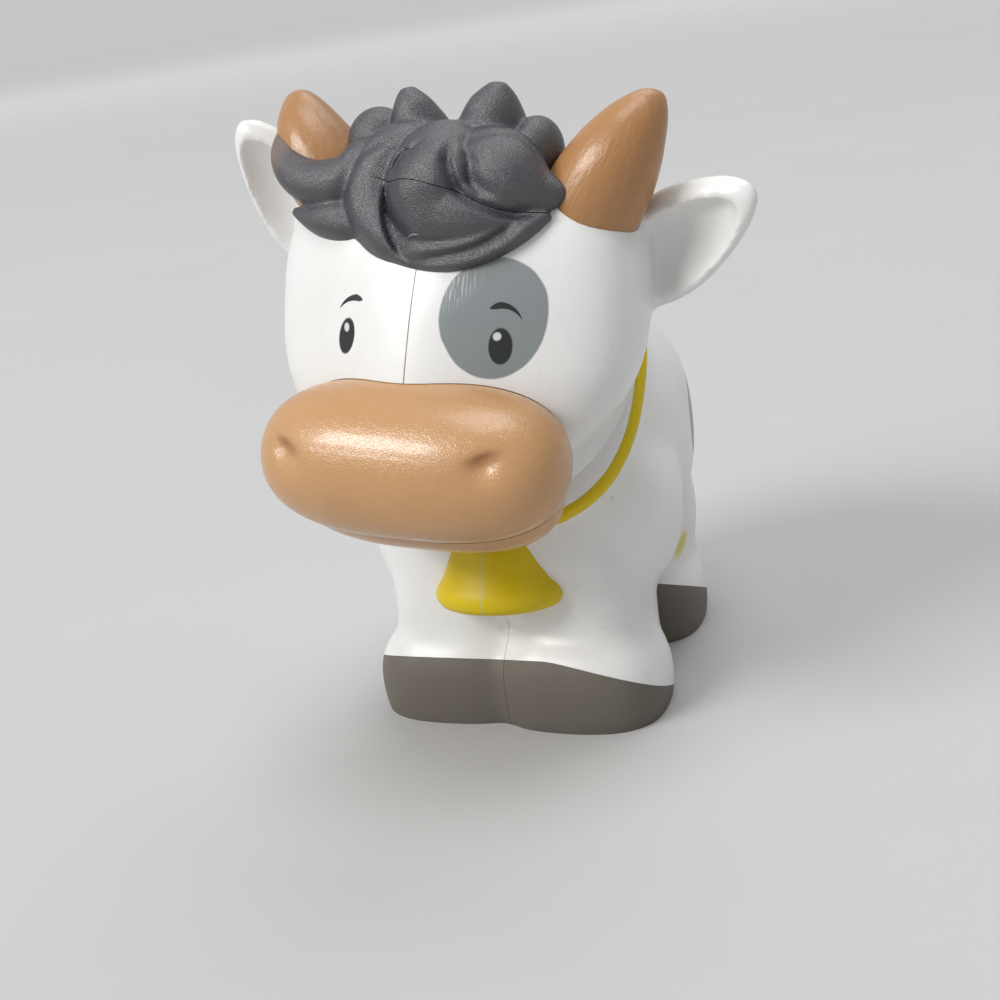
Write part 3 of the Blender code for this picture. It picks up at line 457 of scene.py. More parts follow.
def thick_sheet(name, splits, low_y, high_y, height_at, thickness):
    """A sheet across the cow with the given height over each (x, y), made solid up or down from there."""
    bpy.ops.mesh.primitive_grid_add(x_subdivisions=splits[0], y_subdivisions=splits[1], size=1.0)
    thing = bpy.context.active_object
    thing.name = name
    for vertex in thing.data.vertices:
        x = vertex.co.x * SHEET_WIDTH
        y = low_y + (vertex.co.y + 0.5) * (high_y - low_y)
        vertex.co = Vector((x, y, height_at(x, y))) * MM
    pick(thing)
    bpy.ops.object.mode_set(mode="EDIT")
    bpy.ops.mesh.select_all(action="SELECT")
    bpy.ops.mesh.extrude_region_move(TRANSFORM_OT_translate={"value": (0.0, 0.0, thickness * MM)})
    bpy.ops.mesh.select_all(action="SELECT")
    bpy.ops.mesh.normals_make_consistent(inside=False)
    bpy.ops.object.mode_set(mode="OBJECT")
    return thing


def neck_point(along):
    return PIVOT + neck_axis * along * MM


def neck_place(along=0.0):
    slant = Matrix.Rotation(NECK_SLANT, 4, "X")
    return Matrix.Translation(neck_point(along)) @ slant


def neck_cone(more):
    """The short taper on which the head turns, and with more the room it needs."""
    rise, low, high = NECK_CONE
    outline = (
        (0.0, -3.0), (low - 1.2 + more, -3.0), (low - 0.1 + more, 0.0),
        (high + 0.9 + more, rise / 2), (high + 0.2 + more, rise - 0.25),
        (high - 0.2 + more, rise - 0.05 + more), (high - 0.6, rise + more), (0.0, rise + more),
    )
    return turned("neck_cone", outline, neck_place())


def pin_hole():
    return rod("pin_hole", PIN_HOLE_RADIUS, 4.0, neck_place())


def body_form():
    """The trunk, neck and legs in one, with the arch cut between the front and the rear legs."""
    pieces = [ball("mass", *mass) for mass in BODY_MASSES]
    for side in (-1, 1):
        for leg_y, feet in LEG_PAIRS:
            (foot_x, foot_y, foot_z), foot_size = feet[side]
            pieces.append(ball("leg", (side * LEG_SPREAD, leg_y, LEG_SIZE[2] / 3), LEG_SIZE, LEG_POWER))
            pieces.append(ball("foot", (side * foot_x, foot_y, foot_z), foot_size, FOOT_POWER))
        x, y, z = THIGH_MIDDLE
        pieces.append(ball("thigh", (side * x, y, z), THIGH_SIZE, THIGH_POWER))
    neck = ball("neck", (0.0, 0.0, 0.0), NECK_SIZE, NECK_POWER)
    pieces.append(placed(neck, neck_place()))
    form = fused("body_form", pieces, 0.8, 14)
    radius = ARCH_WIDTH / 2
    spring = ARCH_HEIGHT - radius
    side_on = Matrix.Rotation(math.pi / 2, 4, "Y")
    arch = rod("arch", radius, 40.0, Matrix.Translation(Vector((0.0, ARCH_Y, spring)) * MM) @ side_on)
    opening = block("opening", (-40.0, ARCH_Y - radius, -8.0), (40.0, ARCH_Y + radius, spring))
    form = fused("body_form", [cut(form, arch, opening)], 0.7, 4, levels=1)
    sliced(form, neck_point(0.0), neck_axis)
    inner = NECK_CONE[1] - 0.15
    shoulder = (
        (inner, 0.03), (inner + 2.35, -SHOULDER_DROP), (30.0, -SHOULDER_DROP),
        (30.0, 3.0), (inner, 3.0), (inner, 0.03),
    )
    cut(form, turned("shoulder", shoulder, neck_place()))
    cut(form, neck_cone(0.0), operation="UNION")
    return sliced(form, (0.0, 0.0, 0.0), (0.0, 0.0, -1.0))


def hoof_wedge(toe_y, out_y, falls, gap):
    """The space that a pair of hooves fills: its top falls toward the heel and toward either side."""
    def top(x, y):
        side = math.hypot(max(0.0, abs(x) - HOOF_LEVEL_WIDTH), 2.0) - 2.0
        return HOOF_TOP - HOOF_SLOPE * (y - toe_y) - falls[x < 0.0] * side + gap

    return thick_sheet("hoof_wedge", (64, 16), *sorted((ARCH_Y, out_y)), top, -40.0)


def make_body():
    """The two halves of the trunk, their four hooves, and the collar round the neck."""
    form = body_form()
    hooves = []
    for pair, toe_y, out_y, falls in HOOF_PAIRS:
        both = twin(form, f"hoof_{pair}")
        cut(both, hoof_wedge(toe_y, out_y, falls, 0.0), operation="INTERSECT")
        hooves += halves(both, (f"hoof_{pair}_left", f"hoof_{pair}_right"), BODY_SEAM)
    fixed = [make_collar(form), make_bell(form)] + make_tail(form)
    for _, toe_y, out_y, falls in HOOF_PAIRS:
        cut(form, hoof_wedge(toe_y, out_y, falls, HOOF_FIT))
    middle, size, power = BODY_MASSES[0]
    hollow = ball("hollow", middle, [full - 2 * WALL for full in size], power)
    throat = placed(ball("throat", (0.0, 0.0, 0.0), THROAT_SIZE), neck_place(-WALL))
    room = fused("room", [hollow, throat], 1.6, 2)
    sliced(room, neck_point(-WALL), neck_axis)
    cut(form, room, pin_hole())
    return halves(form, ("torso_left", "torso_right"), BODY_SEAM) + hooves + fixed


def make_collar(form):
    """A rounded band laid round the neck, along the body's own section there."""
    loop = twin(form, "collar_band")
    pick(loop)
    bpy.ops.object.mode_set(mode="EDIT")
    bpy.ops.mesh.select_all(action="SELECT")
    bpy.ops.mesh.bisect(plane_co=neck_point(COLLAR_ALONG), plane_no=neck_axis)
    bpy.ops.mesh.select_all(action="INVERT")
    bpy.ops.mesh.delete(type="VERT")
    bpy.ops.object.mode_set(mode="OBJECT")
    soften = loop.modifiers.new("Even", "SMOOTH")
    soften.iterations = 12
    settle(loop)
    bpy.ops.object.convert(target="CURVE")
    loop = bpy.context.active_object
    loop.data.bevel_depth = COLLAR_RADIUS * MM
    loop.data.bevel_resolution = 6
    pick(loop)
    bpy.ops.object.convert(target="MESH")
    return cut(bpy.context.active_object, swollen(form, BODY_FIT))


def make_bell(form):
    """A cow bell, flattened against the chest, with a rounded lip."""
    place = Matrix.Translation(Vector(BELL_PLACE) * MM) @ Matrix.Rotation(BELL_LEAN, 4, "X")
    bell = turned("chest_bell", BELL_OUTLINE, place @ Matrix.Diagonal((1.0, BELL_DEPTH, 1.0, 1.0)))
    return cut(bell, swollen(form, BODY_FIT))


def make_tail(form):
    """The tail down the rump and the brush at its end."""
    (_, trunk_y, trunk_z), (_, length, tall), power = BODY_MASSES[0]
    points = []
    for step in range(5):
        height = trunk_z + tall / 4 - TAIL_DROP * step / 4
        up = abs(height - trunk_z) / (tall / 2)
        points.append((0.0, trunk_y + length / 2 * (1.0 - up**power) ** (1.0 / power), height))
    end = Vector(points[-1])
    root = Vector(points[0]) + Vector(TAIL_ROOT[0])
    rope = lock("tail_rope", [(root, TAIL_ROOT[1])] + [(point, TAIL_THICKNESS) for point in points])
    brush = lock("tail_brush", [(end - Vector((0.0, 0.0, down)), across) for down, across in TAIL_BRUSH])
    cut(rope, swollen(form, BODY_FIT))
    cut(brush, swollen(form, BODY_FIT), swollen(rope, BODY_FIT))
    return [rope, brush]


def skull(name, inset, detail):
    """The head without its ears: squarish, narrower at the jowls, with a leaning forehead."""
    bpy.ops.mesh.primitive_uv_sphere_add(segments=detail, ring_count=detail // 2, radius=1.0)
    thing = bpy.context.active_object
    thing.name = name
    for vertex in thing.data.vertices:
        x, y, z = (abs(part) for part in vertex.co)
        front = vertex.co.y < 0.0
        depth, power = (HEAD_FRONT_DEPTH, FACE_POWER) if front else (HEAD_REAR_DEPTH, NAPE_POWER)
        section = (x**HEAD_SQUARENESS + z**HEAD_SQUARENESS) ** (1.0 / HEAD_SQUARENESS)
        share = vertex.co / (section**power + y**power) ** (1.0 / power)
        low = max(0.0, -share.z)
        middle = math.exp(-((share.x / FACE_RIDGE_WIDTH) ** 2))
        ridge = FACE_RIDGE * middle * max(0.0, -share.y) * (1.0 - share.z)
        vertex.co = MM * Vector((
            share.x * (HEAD_WIDTH / 2 - inset) * (1.0 - (1.0 - JOWL_SHARE) * low**2) - JOWL_SHIFT * low,
            HEAD_MIDDLE[0] + share.y * (depth - inset) + share.z * FACE_SLOPE - ridge,
            HEAD_MIDDLE[1] + share.z * (HEAD_HEIGHT / 2 - inset),
        ))
    return thing


def ear(side):
    """A thick leaf with a cup in its front."""
    leaf = ball("ear", (0.0, 0.0, 0.0), EAR_SIZE, detail=96)
    cup = ball("cup", (0.0, 0.0, 0.0), EAR_CUP_SIZE, detail=96)
    scoop = Matrix.Translation(Vector((side * EAR_CUP_SHIFT[0], -EAR_SIZE[1] / 2, EAR_CUP_SHIFT[1])) * MM)
    cut(leaf, placed(cup, scoop @ Matrix.Rotation(EAR_CUP_TILT, 4, "X")))
    for vertex in leaf.data.vertices:
        along = side * vertex.co.x / (EAR_SIZE[0] * MM / 2)
        vertex.co.z = vertex.co.z * (1.0 - EAR_TAPER * along) + EAR_LIFT * MM * along
    reach, rise = EAR_REACH_AND_RISE[side]
    place = (
        Matrix.Translation(Vector((side * EAR_ROOT[0], *EAR_ROOT[1:])) * MM)
        @ Matrix.Rotation(-side * EAR_FORWARD, 4, "Z")
        @ Matrix.Rotation(-side * rise, 4, "Y")
        @ Matrix.Translation((side * (reach - EAR_SIZE[0] / 2) * MM, 0.0, 0.0))
    )
    return placed(leaf, place)


def make_snout():
    """The pill-shaped snout with its dimples, and the lip below it."""
    pieces = []
    for name, middle, size in (("muzzle", SNOUT_MIDDLE, SNOUT_SIZE), ("lip", JAW_MIDDLE, JAW_SIZE)):
        bpy.ops.mesh.primitive_uv_sphere_add(segments=192, ring_count=128, radius=1.0)
        pill = bpy.context.active_object
        pill.name = name
        for vertex in pill.data.vertices:
            x = abs(vertex.co.x)
            across = math.hypot(vertex.co.y, vertex.co.z)
            vertex.co /= (x**SNOUT_POWER + across**SNOUT_POWER) ** (1.0 / SNOUT_POWER)
        half = Matrix.Diagonal((*(full * MM / 2 for full in size), 1.0))
        pieces.append(placed(pill, Matrix.Translation(Vector(middle) * MM) @ half))
    muzzle, lip = pieces
    muzzle = fused("muzzle", [muzzle], 0.28, 2)
    for vertex in muzzle.data.vertices:
        place = vertex.co / MM
        vertex.co.y += SNOUT_LEAN * (place.z - SNOUT_MIDDLE[2]) * MM
        if place.y > SNOUT_MIDDLE[1]:
            continue
        for side in (-1, 1):
            x = place.x - side * NOSTRIL[0]
            z = place.z - SNOUT_MIDDLE[2] - NOSTRIL[1]
            tilt = side * NOSTRIL_TILT
            along = x * math.cos(tilt) + z * math.sin(tilt)
            across = z * math.cos(tilt) - x * math.sin(tilt)
            depth, length, above, below = PIT
            height = above if across > 0.0 else below
            pit = depth * math.exp(-((along / length) ** 2) - (across / height) ** 2)
            depth, length, height, drop_by = DISH
            dish = depth * math.exp(-((along / length) ** 2) - ((across + drop_by) / height) ** 2)
            vertex.co.y += (pit + dish) * MM
    cut(lip, swollen(muzzle, LIP_FIT))
    middle = Matrix.Translation(Vector(SNOUT_MIDDLE) * MM)
    askew = middle @ Matrix.Rotation(-SNOUT_ROLL, 4, "Y") @ middle.inverted()
    return [placed(muzzle, askew), placed(lip, askew)]


def make_horns():
    horns = []
    for side, word in ((1, "left"), (-1, "right")):
        points = []
        for (x, y, z), across in HORN_POINTS:
            tuck = HORN_TUCK[side] * max(0.0, HORN_TUCK_HEIGHT - z)
            points.append(((side * (x - tuck), y, z), max(0.8, across - tuck)))
        cone = lock(f"horn_cone_{word}", points, rings=14)
        horns.append(fused(f"horn_cone_{word}", [cone], 0.3, 10))
    return horns


def creased(thing):
    """Presses the creases between the curls into the side that faces front."""
    count = len(thing.data.vertices)
    spots = np.empty(count * 3)
    facing = np.empty(count * 3)
    thing.data.vertices.foreach_get("co", spots)
    thing.data.vertices.foreach_get("normal", facing)
    spots = spots.reshape(-1, 3) / MM
    front = np.array(HAIR_FRONT)
    open_to_front = np.clip(facing.reshape(-1, 3) @ front / 0.35, 0.0, 1.0)
    for points, depth, left_width, right_width in HAIR_CREASES:
        path = softened_path(points)
        steps = np.diff(path, axis=0)
        lengths = np.linalg.norm(steps, axis=1)
        passed = np.concatenate(([0.0], np.cumsum(lengths)))
        press = np.zeros(count)
        for start, step, length, before in zip(path, steps, lengths, passed):
            flat_step = step - front * (step @ front)
            offset = spots - start
            offset = offset - np.outer(offset @ front, front)
            along = np.clip(offset @ flat_step / (flat_step @ flat_step), 0.0, 1.0)
            away = offset - np.outer(along, flat_step)
            left = np.cross(flat_step, offset) @ front > 0.0
            reach = np.linalg.norm(away, axis=1) / np.where(left, left_width, right_width)
            share = (before + along * length) / passed[-1]
            taper = np.clip(6.0 * np.minimum(share, 1.0 - share), 0.0, 1.0)
            press = np.maximum(press, taper * np.exp(-(reach**2)))
        spots -= np.outer(depth * press * open_to_front, front)
    thing.data.vertices.foreach_set("co", (spots * MM).ravel())
    thing.data.update()
    return thing


def softened_path(points):
    """The path with its corners cut twice."""
    path = np.array(points)
    for _ in range(2):
        first = 0.75 * path[:-1] + 0.25 * path[1:]
        second = 0.25 * path[:-1] + 0.75 * path[1:]
        path = np.vstack((path[:1], np.column_stack((first, second)).reshape(-1, 3), path[-1:]))
    return path


def parting_block(side):
    """What is cut from the fringe (1) or the crown (-1): all past the parting, and half of the hairline."""
    across, heights = zip(*PARTING_LINE)

    def edge(x, y):
        near = [x + 0.25 * step for step in range(-3, 4)]
        height = float(np.mean(np.interp(near, across, heights))) - PARTING_FALL * (y - PARTING_Y)
        gap = PARTING_GAP * float(np.interp(x, PARTING_FADE, (PARTING_SHUT, 1.0)))
        return height - side * gap / 2

    return thick_sheet("parting", (180, 12), -40.0, 20.0, edge, side * 60.0)


def make_hair(form, horns):
    """The curls in one moulding, parted along a hairline into a fringe and a crown."""
    pieces = [ball("curl", middle, size) for middle, size in HAIR_BALLS]
    pieces += [lock("lock", points) for points in HAIR_LOCKS]
    hair = creased(fused("curls", pieces, 0.24, 5))
    cut(hair, *(swollen(horn, HAIR_FIT) for horn in horns), swollen(form, BODY_FIT))
    sliced(hair, neck_point(NECK_GAP), -neck_axis)
    crown = twin(hair, "curls_crown")
    hair.name = "curls_fringe"
    cut(hair, parting_block(1))
    cut(crown, parting_block(-1))
    return [hair, crown]


def make_head():
    """The two halves of the head, with everything that is fixed to it."""
    root = ball("ear_root", *RIGHT_EAR_ROOT)
    form = fused("head_form", [skull("face", 0.0, 160), ear(1), ear(-1), root], 0.34, 4)
    softened(form, [((side * 18.0, -12.5, 56.5), 9.0) for side in (-1, 1)], 60)
    sliced(form, neck_point(NECK_GAP), -neck_axis)
    horns = make_horns()
    muzzle, lip = make_snout()
    hair = make_hair(form, horns)
    room = skull("room", WALL, 24)
    sliced(room, neck_point(NECK_CONE[0] + 2.0 * NECK_GAP + WALL), -neck_axis)
    cut(form, room, pin_hole())
    cut(form, *(swollen(horn, HORN_FIT) for horn in horns))
    cut(form, swollen(muzzle, SNOUT_FIT), swollen(lip, SNOUT_FIT))
    cut(form, neck_cone(NECK_GAP))
    return halves(form, ("face_left", "face_right"), FACE_SEAM) + hair + [muzzle, lip] + horns


def keep_largest(thing):
    """Drops the crumbs that a cut leaves beside the main body."""
    pick(thing)
    bpy.ops.mesh.separate(type="LOOSE")
    parts = sorted(bpy.context.selected_objects, key=lambda part: len(part.data.vertices))
    name = thing.name
    main = parts.pop()
    drop(*parts)
    main.name = name
    return main


# Materials

WHITE = (0.80, 0.80, 0.79)
TAN = (0.53, 0.290, 0.125)
HORN_TAN = (0.40, 0.195, 0.072)
CHARCOAL = (0.036, 0.036, 0.045)
YELLOW = (0.66, 0.49, 0.002)
TAUPE = (0.140, 0.124, 0.102)
BLACK = (0.03, 0.03, 0.03)
GREY_INK = (0.225, 0.25, 0.255)
RUBBED_INK = (0.42, 0.45, 0.46)
BLACK_INK = (0.012, 0.014, 0.016)
WHITE_INK = (0.62, 0.63, 0.64)
YELLOW_INK = (0.70, 0.60, 0.16)
SPECK_COLOUR = (0.25, 0.22, 0.18)
# Painted shade: the darker colour of a band along the seam down the face
SEAM_SHADE_COLOUR = (0.42, 0.36, 0.30)
BELL_DUST_COLOUR = (0.50, 0.49, 0.26)
# Painted shade for the pits of the nostrils
NOSTRIL_SHADE_COLOUR = (0.30, 0.115, 0.035)
SCRATCH_COLOUR = (0.30, 0.29, 0.30)
STRAY_COLOUR = (0.26, 0.15, 0.10)
COAT_ROUGHNESS = 0.12
SKIN_DEPTH = 0.05


def give(tree, socket, value):
    """Links a socket to another one, or sets it to a number or a colour."""
    if isinstance(value, bpy.types.NodeSocket):
        tree.links.new(value, socket)
    else:
        socket.default_value = value


def value_of(tree, operation, *values, clamp=False):
    """A maths node on numbers or sockets."""
    node = tree.nodes.new("ShaderNodeMath")
    node.operation = operation
    node.use_clamp = clamp
    for socket, value in zip(node.inputs, values):
        give(tree, socket, value)
    return node.outputs[0]


def weighted(tree, first, first_share, second, second_share):
    """The sum of two values, each times its share."""
    product = value_of(tree, "MULTIPLY", second, second_share)
    return value_of(tree, "MULTIPLY_ADD", first, first_share, product)


def length_of(tree, across, up):
    return value_of(tree, "SQRT", value_of(tree, "ADD", value_of(tree, "MULTIPLY", across, across),
                                           value_of(tree, "MULTIPLY", up, up)))


def most(tree, first, *others):
    """The highest of some values."""
    for other in others:
        first = value_of(tree, "MAXIMUM", first, other)
    return first


def ramp(tree, value, low, high, to_low=0.0, to_high=1.0):
    """Runs smoothly from one value to the other as the input goes from low to high."""
    node = tree.nodes.new("ShaderNodeMapRange")
    node.interpolation_type = "SMOOTHSTEP"
    tree.links.new(value, node.inputs["Value"])
    for name, number in zip(("From Min", "From Max", "To Min", "To Max"), (low, high, to_low, to_high)):
        node.inputs[name].default_value = number
    return node.outputs["Result"]


def noise(tree, vector, scale, detail=3.0, roughness=0.5):
    node = tree.nodes.new("ShaderNodeTexNoise")
    tree.links.new(vector, node.inputs["Vector"])
    give(tree, node.inputs["Scale"], scale)
    node.inputs["Detail"].default_value = detail
    node.inputs["Roughness"].default_value = roughness
    return node.outputs["Fac"]


def blended(tree, mask, under, over):
    """One colour over another where the mask is 1."""
    node = tree.nodes.new("ShaderNodeMix")
    node.data_type = "RGBA"
    tree.links.new(mask, node.inputs[0])
    for socket, colour in ((node.inputs[6], under), (node.inputs[7], over)):
        give(tree, socket, (*colour, 1.0) if isinstance(colour, tuple) else colour)
    return node.outputs[2]


def printed(tree, base, colour, *masks):
    """A colour laid over the base where all the masks are 1."""
    mask = masks[0]
    for other in masks[1:]:
        mask = value_of(tree, "MULTIPLY", mask, other)
    return blended(tree, mask, base, colour)


def group_tree(name, inputs, outputs):
    tree = bpy.data.node_groups.new(name, "ShaderNodeTree")
    for label, kind, start in inputs:
        socket = tree.interface.new_socket(label, in_out="INPUT", socket_type=kind)
        if start is not None:
            socket.default_value = start
    for label, kind in outputs:
        tree.interface.new_socket(label, in_out="OUTPUT", socket_type=kind)
    return tree, tree.nodes.new("NodeGroupInput"), tree.nodes.new("NodeGroupOutput")


def moulded_skin_group():
    """Moulded plastic's surface: the peel of a polished mould, a finer grain, and smudges from hands."""
    tree, given, result = group_tree(
        "moulded_skin",
        (
            ("Vector", "NodeSocketVector", None),
            ("Peel Size", "NodeSocketFloat", 1.2),
            ("Peel", "NodeSocketFloat", 0.5),
            ("Grain Size", "NodeSocketFloat", 0.12),
            ("Grain", "NodeSocketFloat", 0.2),
        ),
        (("Height", "NodeSocketFloat"), ("Smudge", "NodeSocketFloat"), ("Speck", "NodeSocketFloat")),
    )
    vector = given.outputs["Vector"]
    peel = noise(tree, vector, value_of(tree, "DIVIDE", 1.0, given.outputs["Peel Size"]), 2.0)
    grain = noise(tree, vector, value_of(tree, "DIVIDE", 1.0, given.outputs["Grain Size"]), 1.0)
    height = weighted(tree, peel, given.outputs["Peel"], grain, given.outputs["Grain"])
    tree.links.new(height, result.inputs["Height"])
    cloud = noise(tree, vector, 0.11, 4.0, 0.6)
    tree.links.new(ramp(tree, cloud, 0.45, 0.75), result.inputs["Smudge"])
    dot = noise(tree, vector, 1.9, 1.0)
    tree.links.new(ramp(tree, dot, 0.76, 0.80), result.inputs["Speck"])
    return tree


moulded_skin = moulded_skin_group()


def straight_millimetres(tree, on_head):
    """The place on the surface in millimetres, on the cow with its head straight."""
    place = tree.nodes.new("ShaderNodeTexCoord").outputs["Object"]
    if on_head:
        turn = tree.nodes.new("ShaderNodeVectorRotate")
        turn.rotation_type = "AXIS_ANGLE"
        turn.inputs["Center"].default_value = hinge_point
        turn.inputs["Axis"].default_value = neck_axis
        turn.inputs["Angle"].default_value = -REST_TURN
        tree.links.new(place, turn.inputs["Vector"])
        place = turn.outputs["Vector"]
    scale = tree.nodes.new("ShaderNodeMapping")
    scale.inputs["Location"].default_value = (PIVOT - hinge_point) / MM
    scale.inputs["Scale"].default_value = (1.0 / MM,) * 3
    tree.links.new(place, scale.inputs["Vector"])
    return scale.outputs["Vector"]


def streaks(tree, vector, height):
    """Adds fine lines that run along both horns to a height."""
    x, y, z = parts_of(tree, vector)
    outward = value_of(tree, "ABSOLUTE", x)
    lean_out, lean_up = HORN_LEAN
    along = weighted(tree, outward, lean_out, z, lean_up)
    over = weighted(tree, outward, lean_up, z, -lean_out)
    join = tree.nodes.new("ShaderNodeCombineXYZ")
    for socket, value in zip(join.inputs, (value_of(tree, "MULTIPLY", along, 0.12), over, y)):
        tree.links.new(value, socket)
    line = noise(tree, join.outputs[0], 1.1, 3.0, 0.6)
    return value_of(tree, "MULTIPLY_ADD", line, 2.4, height)


def plastic(name, colour, roughness, peel, grain, on_head=False, peel_size=1.2, grain_size=0.12,
            smudge=0.08, speck=0.0, coat=0.0, specular=0.5, prints_and_shade=None, lines=None):
    """A moulded plastic: its colour, gloss and skin, what is printed on it, and any shade painted into its
    colour.
    """
    material = bpy.data.materials.new(name)
    material.use_nodes = True
    tree = material.node_tree
    shader = tree.nodes["Principled BSDF"]
    vector = straight_millimetres(tree, on_head)
    skin = tree.nodes.new("ShaderNodeGroup")
    skin.node_tree = moulded_skin
    tree.links.new(vector, skin.inputs["Vector"])
    sizes = (("Peel Size", peel_size), ("Peel", peel), ("Grain Size", grain_size), ("Grain", grain))
    for label, value in sizes:
        skin.inputs[label].default_value = value
    darker = tuple(part * 0.82 for part in colour)
    tint = value_of(tree, "MULTIPLY", skin.outputs["Smudge"], smudge * 4.0)
    base = blended(tree, tint, colour, darker)
    if speck:
        base = printed(tree, base, SPECK_COLOUR, value_of(tree, "MULTIPLY", skin.outputs["Speck"], speck))
    gloss = value_of(tree, "MULTIPLY_ADD", skin.outputs["Smudge"], smudge, roughness)
    if prints_and_shade:
        base, gloss = prints_and_shade(tree, vector, base, gloss)
    tree.links.new(base, shader.inputs["Base Color"])
    tree.links.new(gloss, shader.inputs["Roughness"])
    bump = tree.nodes.new("ShaderNodeBump")
    bump.inputs["Strength"].default_value = 1.0
    bump.inputs["Distance"].default_value = SKIN_DEPTH * MM
    height = skin.outputs["Height"]
    if lines:
        height = lines(tree, vector, height)
    tree.links.new(height, bump.inputs["Height"])
    tree.links.new(bump.outputs["Normal"], shader.inputs["Normal"])
    shader.inputs["Coat Weight"].default_value = coat
    shader.inputs["Coat Roughness"].default_value = COAT_ROUGHNESS
    shader.inputs["Specular IOR Level"].default_value = specular
    return material


def parts_of(tree, vector):
    split = tree.nodes.new("ShaderNodeSeparateXYZ")
    tree.links.new(vector, split.inputs[0])
    return split.outputs


def oval(tree, x, z, middle, semi, tilt=0.0, egg=0.0, edge=0.06, warp=None):
    """1 inside an oval on the front of the cow, with its edge this soft as a share of its size."""
    across = value_of(tree, "SUBTRACT", x, middle[0])
    up = value_of(tree, "SUBTRACT", z, middle[1])
    cosine, sine = math.cos(tilt), math.sin(tilt)
    u = weighted(tree, across, cosine / semi[0], up, sine / semi[0])
    v = weighted(tree, up, cosine / semi[1], across, -sine / semi[1])
    if egg:
        u = value_of(tree, "DIVIDE", u, value_of(tree, "MULTIPLY_ADD", v, egg, 1.0))
    reach = length_of(tree, u, v)
    if warp is not None:
        reach = value_of(tree, "ADD", reach, warp)
    return ramp(tree, reach, 1.0 + edge, 1.0 - edge)


def brow(tree, x, z, thick_end, middle, tip, thickness):
    """1 on a tapered stroke that bends through three points."""
    (ax, az), (bx, bz), (cx, cz) = thick_end, middle, tip
    spread = 2.0 * (ax * (bz - cz) + bx * (cz - az) + cx * (az - bz))
    squares = ax**2 + az**2, bx**2 + bz**2, cx**2 + cz**2
    centre_x = (squares[0] * (bz - cz) + squares[1] * (cz - az) + squares[2] * (az - bz)) / spread
    centre_z = (squares[0] * (cx - bx) + squares[1] * (ax - cx) + squares[2] * (bx - ax)) / spread
    radius = math.hypot(ax - centre_x, az - centre_z)
    length = math.hypot(cx - ax, cz - az)
    from_centre = value_of(tree, "SUBTRACT", x, centre_x), value_of(tree, "SUBTRACT", z, centre_z)
    off = value_of(tree, "ABSOLUTE", value_of(tree, "SUBTRACT", length_of(tree, *from_centre), radius))
    across = value_of(tree, "SUBTRACT", x, ax)
    up = value_of(tree, "SUBTRACT", z, az)
    along = weighted(tree, across, (cx - ax) / length**2, up, (cz - az) / length**2)
    left = value_of(tree, "SUBTRACT", 1.0, along, clamp=True)
    start = value_of(tree, "POWER", value_of(tree, "MULTIPLY_ADD", along, 5.0, 0.4, clamp=True), 0.5)
    # The rest of the circle lies on the far side of the chord, and shows nothing
    side = math.copysign(1.0, (bx - ax) * (az - cz) + (bz - az) * (cx - ax))
    over = weighted(tree, across, side * (az - cz) / length, up, side * (cx - ax) / length)
    start = value_of(tree, "MULTIPLY", start, ramp(tree, over, -0.5, -0.4))
    share = value_of(tree, "MULTIPLY", value_of(tree, "POWER", left, 0.7), start)
    half = value_of(tree, "MULTIPLY", share, thickness / 2)
    return ramp(tree, value_of(tree, "SUBTRACT", half, off), 0.0, 0.06)


def scuffs(tree, vector, x, z):
    """Short pale strokes where the grey ink is rubbed near the hair."""
    turn = tree.nodes.new("ShaderNodeMapping")
    turn.inputs["Rotation"].default_value = (0.0, math.radians(35.0), 0.0)
    turn.inputs["Scale"].default_value = (5.5, 0.4, 0.5)
    tree.links.new(vector, turn.inputs["Vector"])
    stroke = ramp(tree, noise(tree, turn.outputs["Vector"], 1.0, 2.0), 0.50, 0.62)
    near = oval(tree, x, z, (5.0, 57.6), (1.7, 2.6), math.radians(-35.0), 0.0, 0.6)
    return value_of(tree, "MULTIPLY", stroke, near)


def seam_wear_and_shade_group():
    """A band along a seam on the middle plane: the bell's pale line of worn paint, and the painted shade
    along the face's seam.
    """
    tree, given, result = group_tree(
        "seam_wear_and_shade",
        (
            ("Across", "NodeSocketFloat", None),
            ("Middle", "NodeSocketFloat", 0.0),
            ("Width", "NodeSocketFloat", 0.16),
            ("Amount", "NodeSocketFloat", 0.6),
        ),
        (("Wear_And_Shade", "NodeSocketFloat"),),
    )
    across = value_of(tree, "SUBTRACT", given.outputs["Across"], given.outputs["Middle"])
    share = value_of(tree, "DIVIDE", value_of(tree, "ABSOLUTE", across), given.outputs["Width"])
    wear_and_shade = value_of(tree, "MULTIPLY", ramp(tree, share, 1.0, 0.4), given.outputs["Amount"])
    tree.links.new(wear_and_shade, result.inputs["Wear_And_Shade"])
    return tree


seam_wear_and_shade = seam_wear_and_shade_group()


# The seam band: worn paint on the bell, painted shade on the face
def wear_and_shade_along(tree, x, middle, width, amount):
    node = tree.nodes.new("ShaderNodeGroup")
    node.node_tree = seam_wear_and_shade
    tree.links.new(x, node.inputs["Across"])
    for label, value in (("Middle", middle), ("Width", width), ("Amount", amount)):
        node.inputs[label].default_value = value
    return node.outputs["Wear_And_Shade"]


def bell_prints(tree, vector, base, gloss):
    """The pale line where the two halves of the bell's mould met."""
    x = parts_of(tree, vector)[0]
    return printed(tree, base, BELL_DUST_COLOUR, wear_and_shade_along(tree, x, BELL_PLACE[0], 0.17, 0.6)), gloss


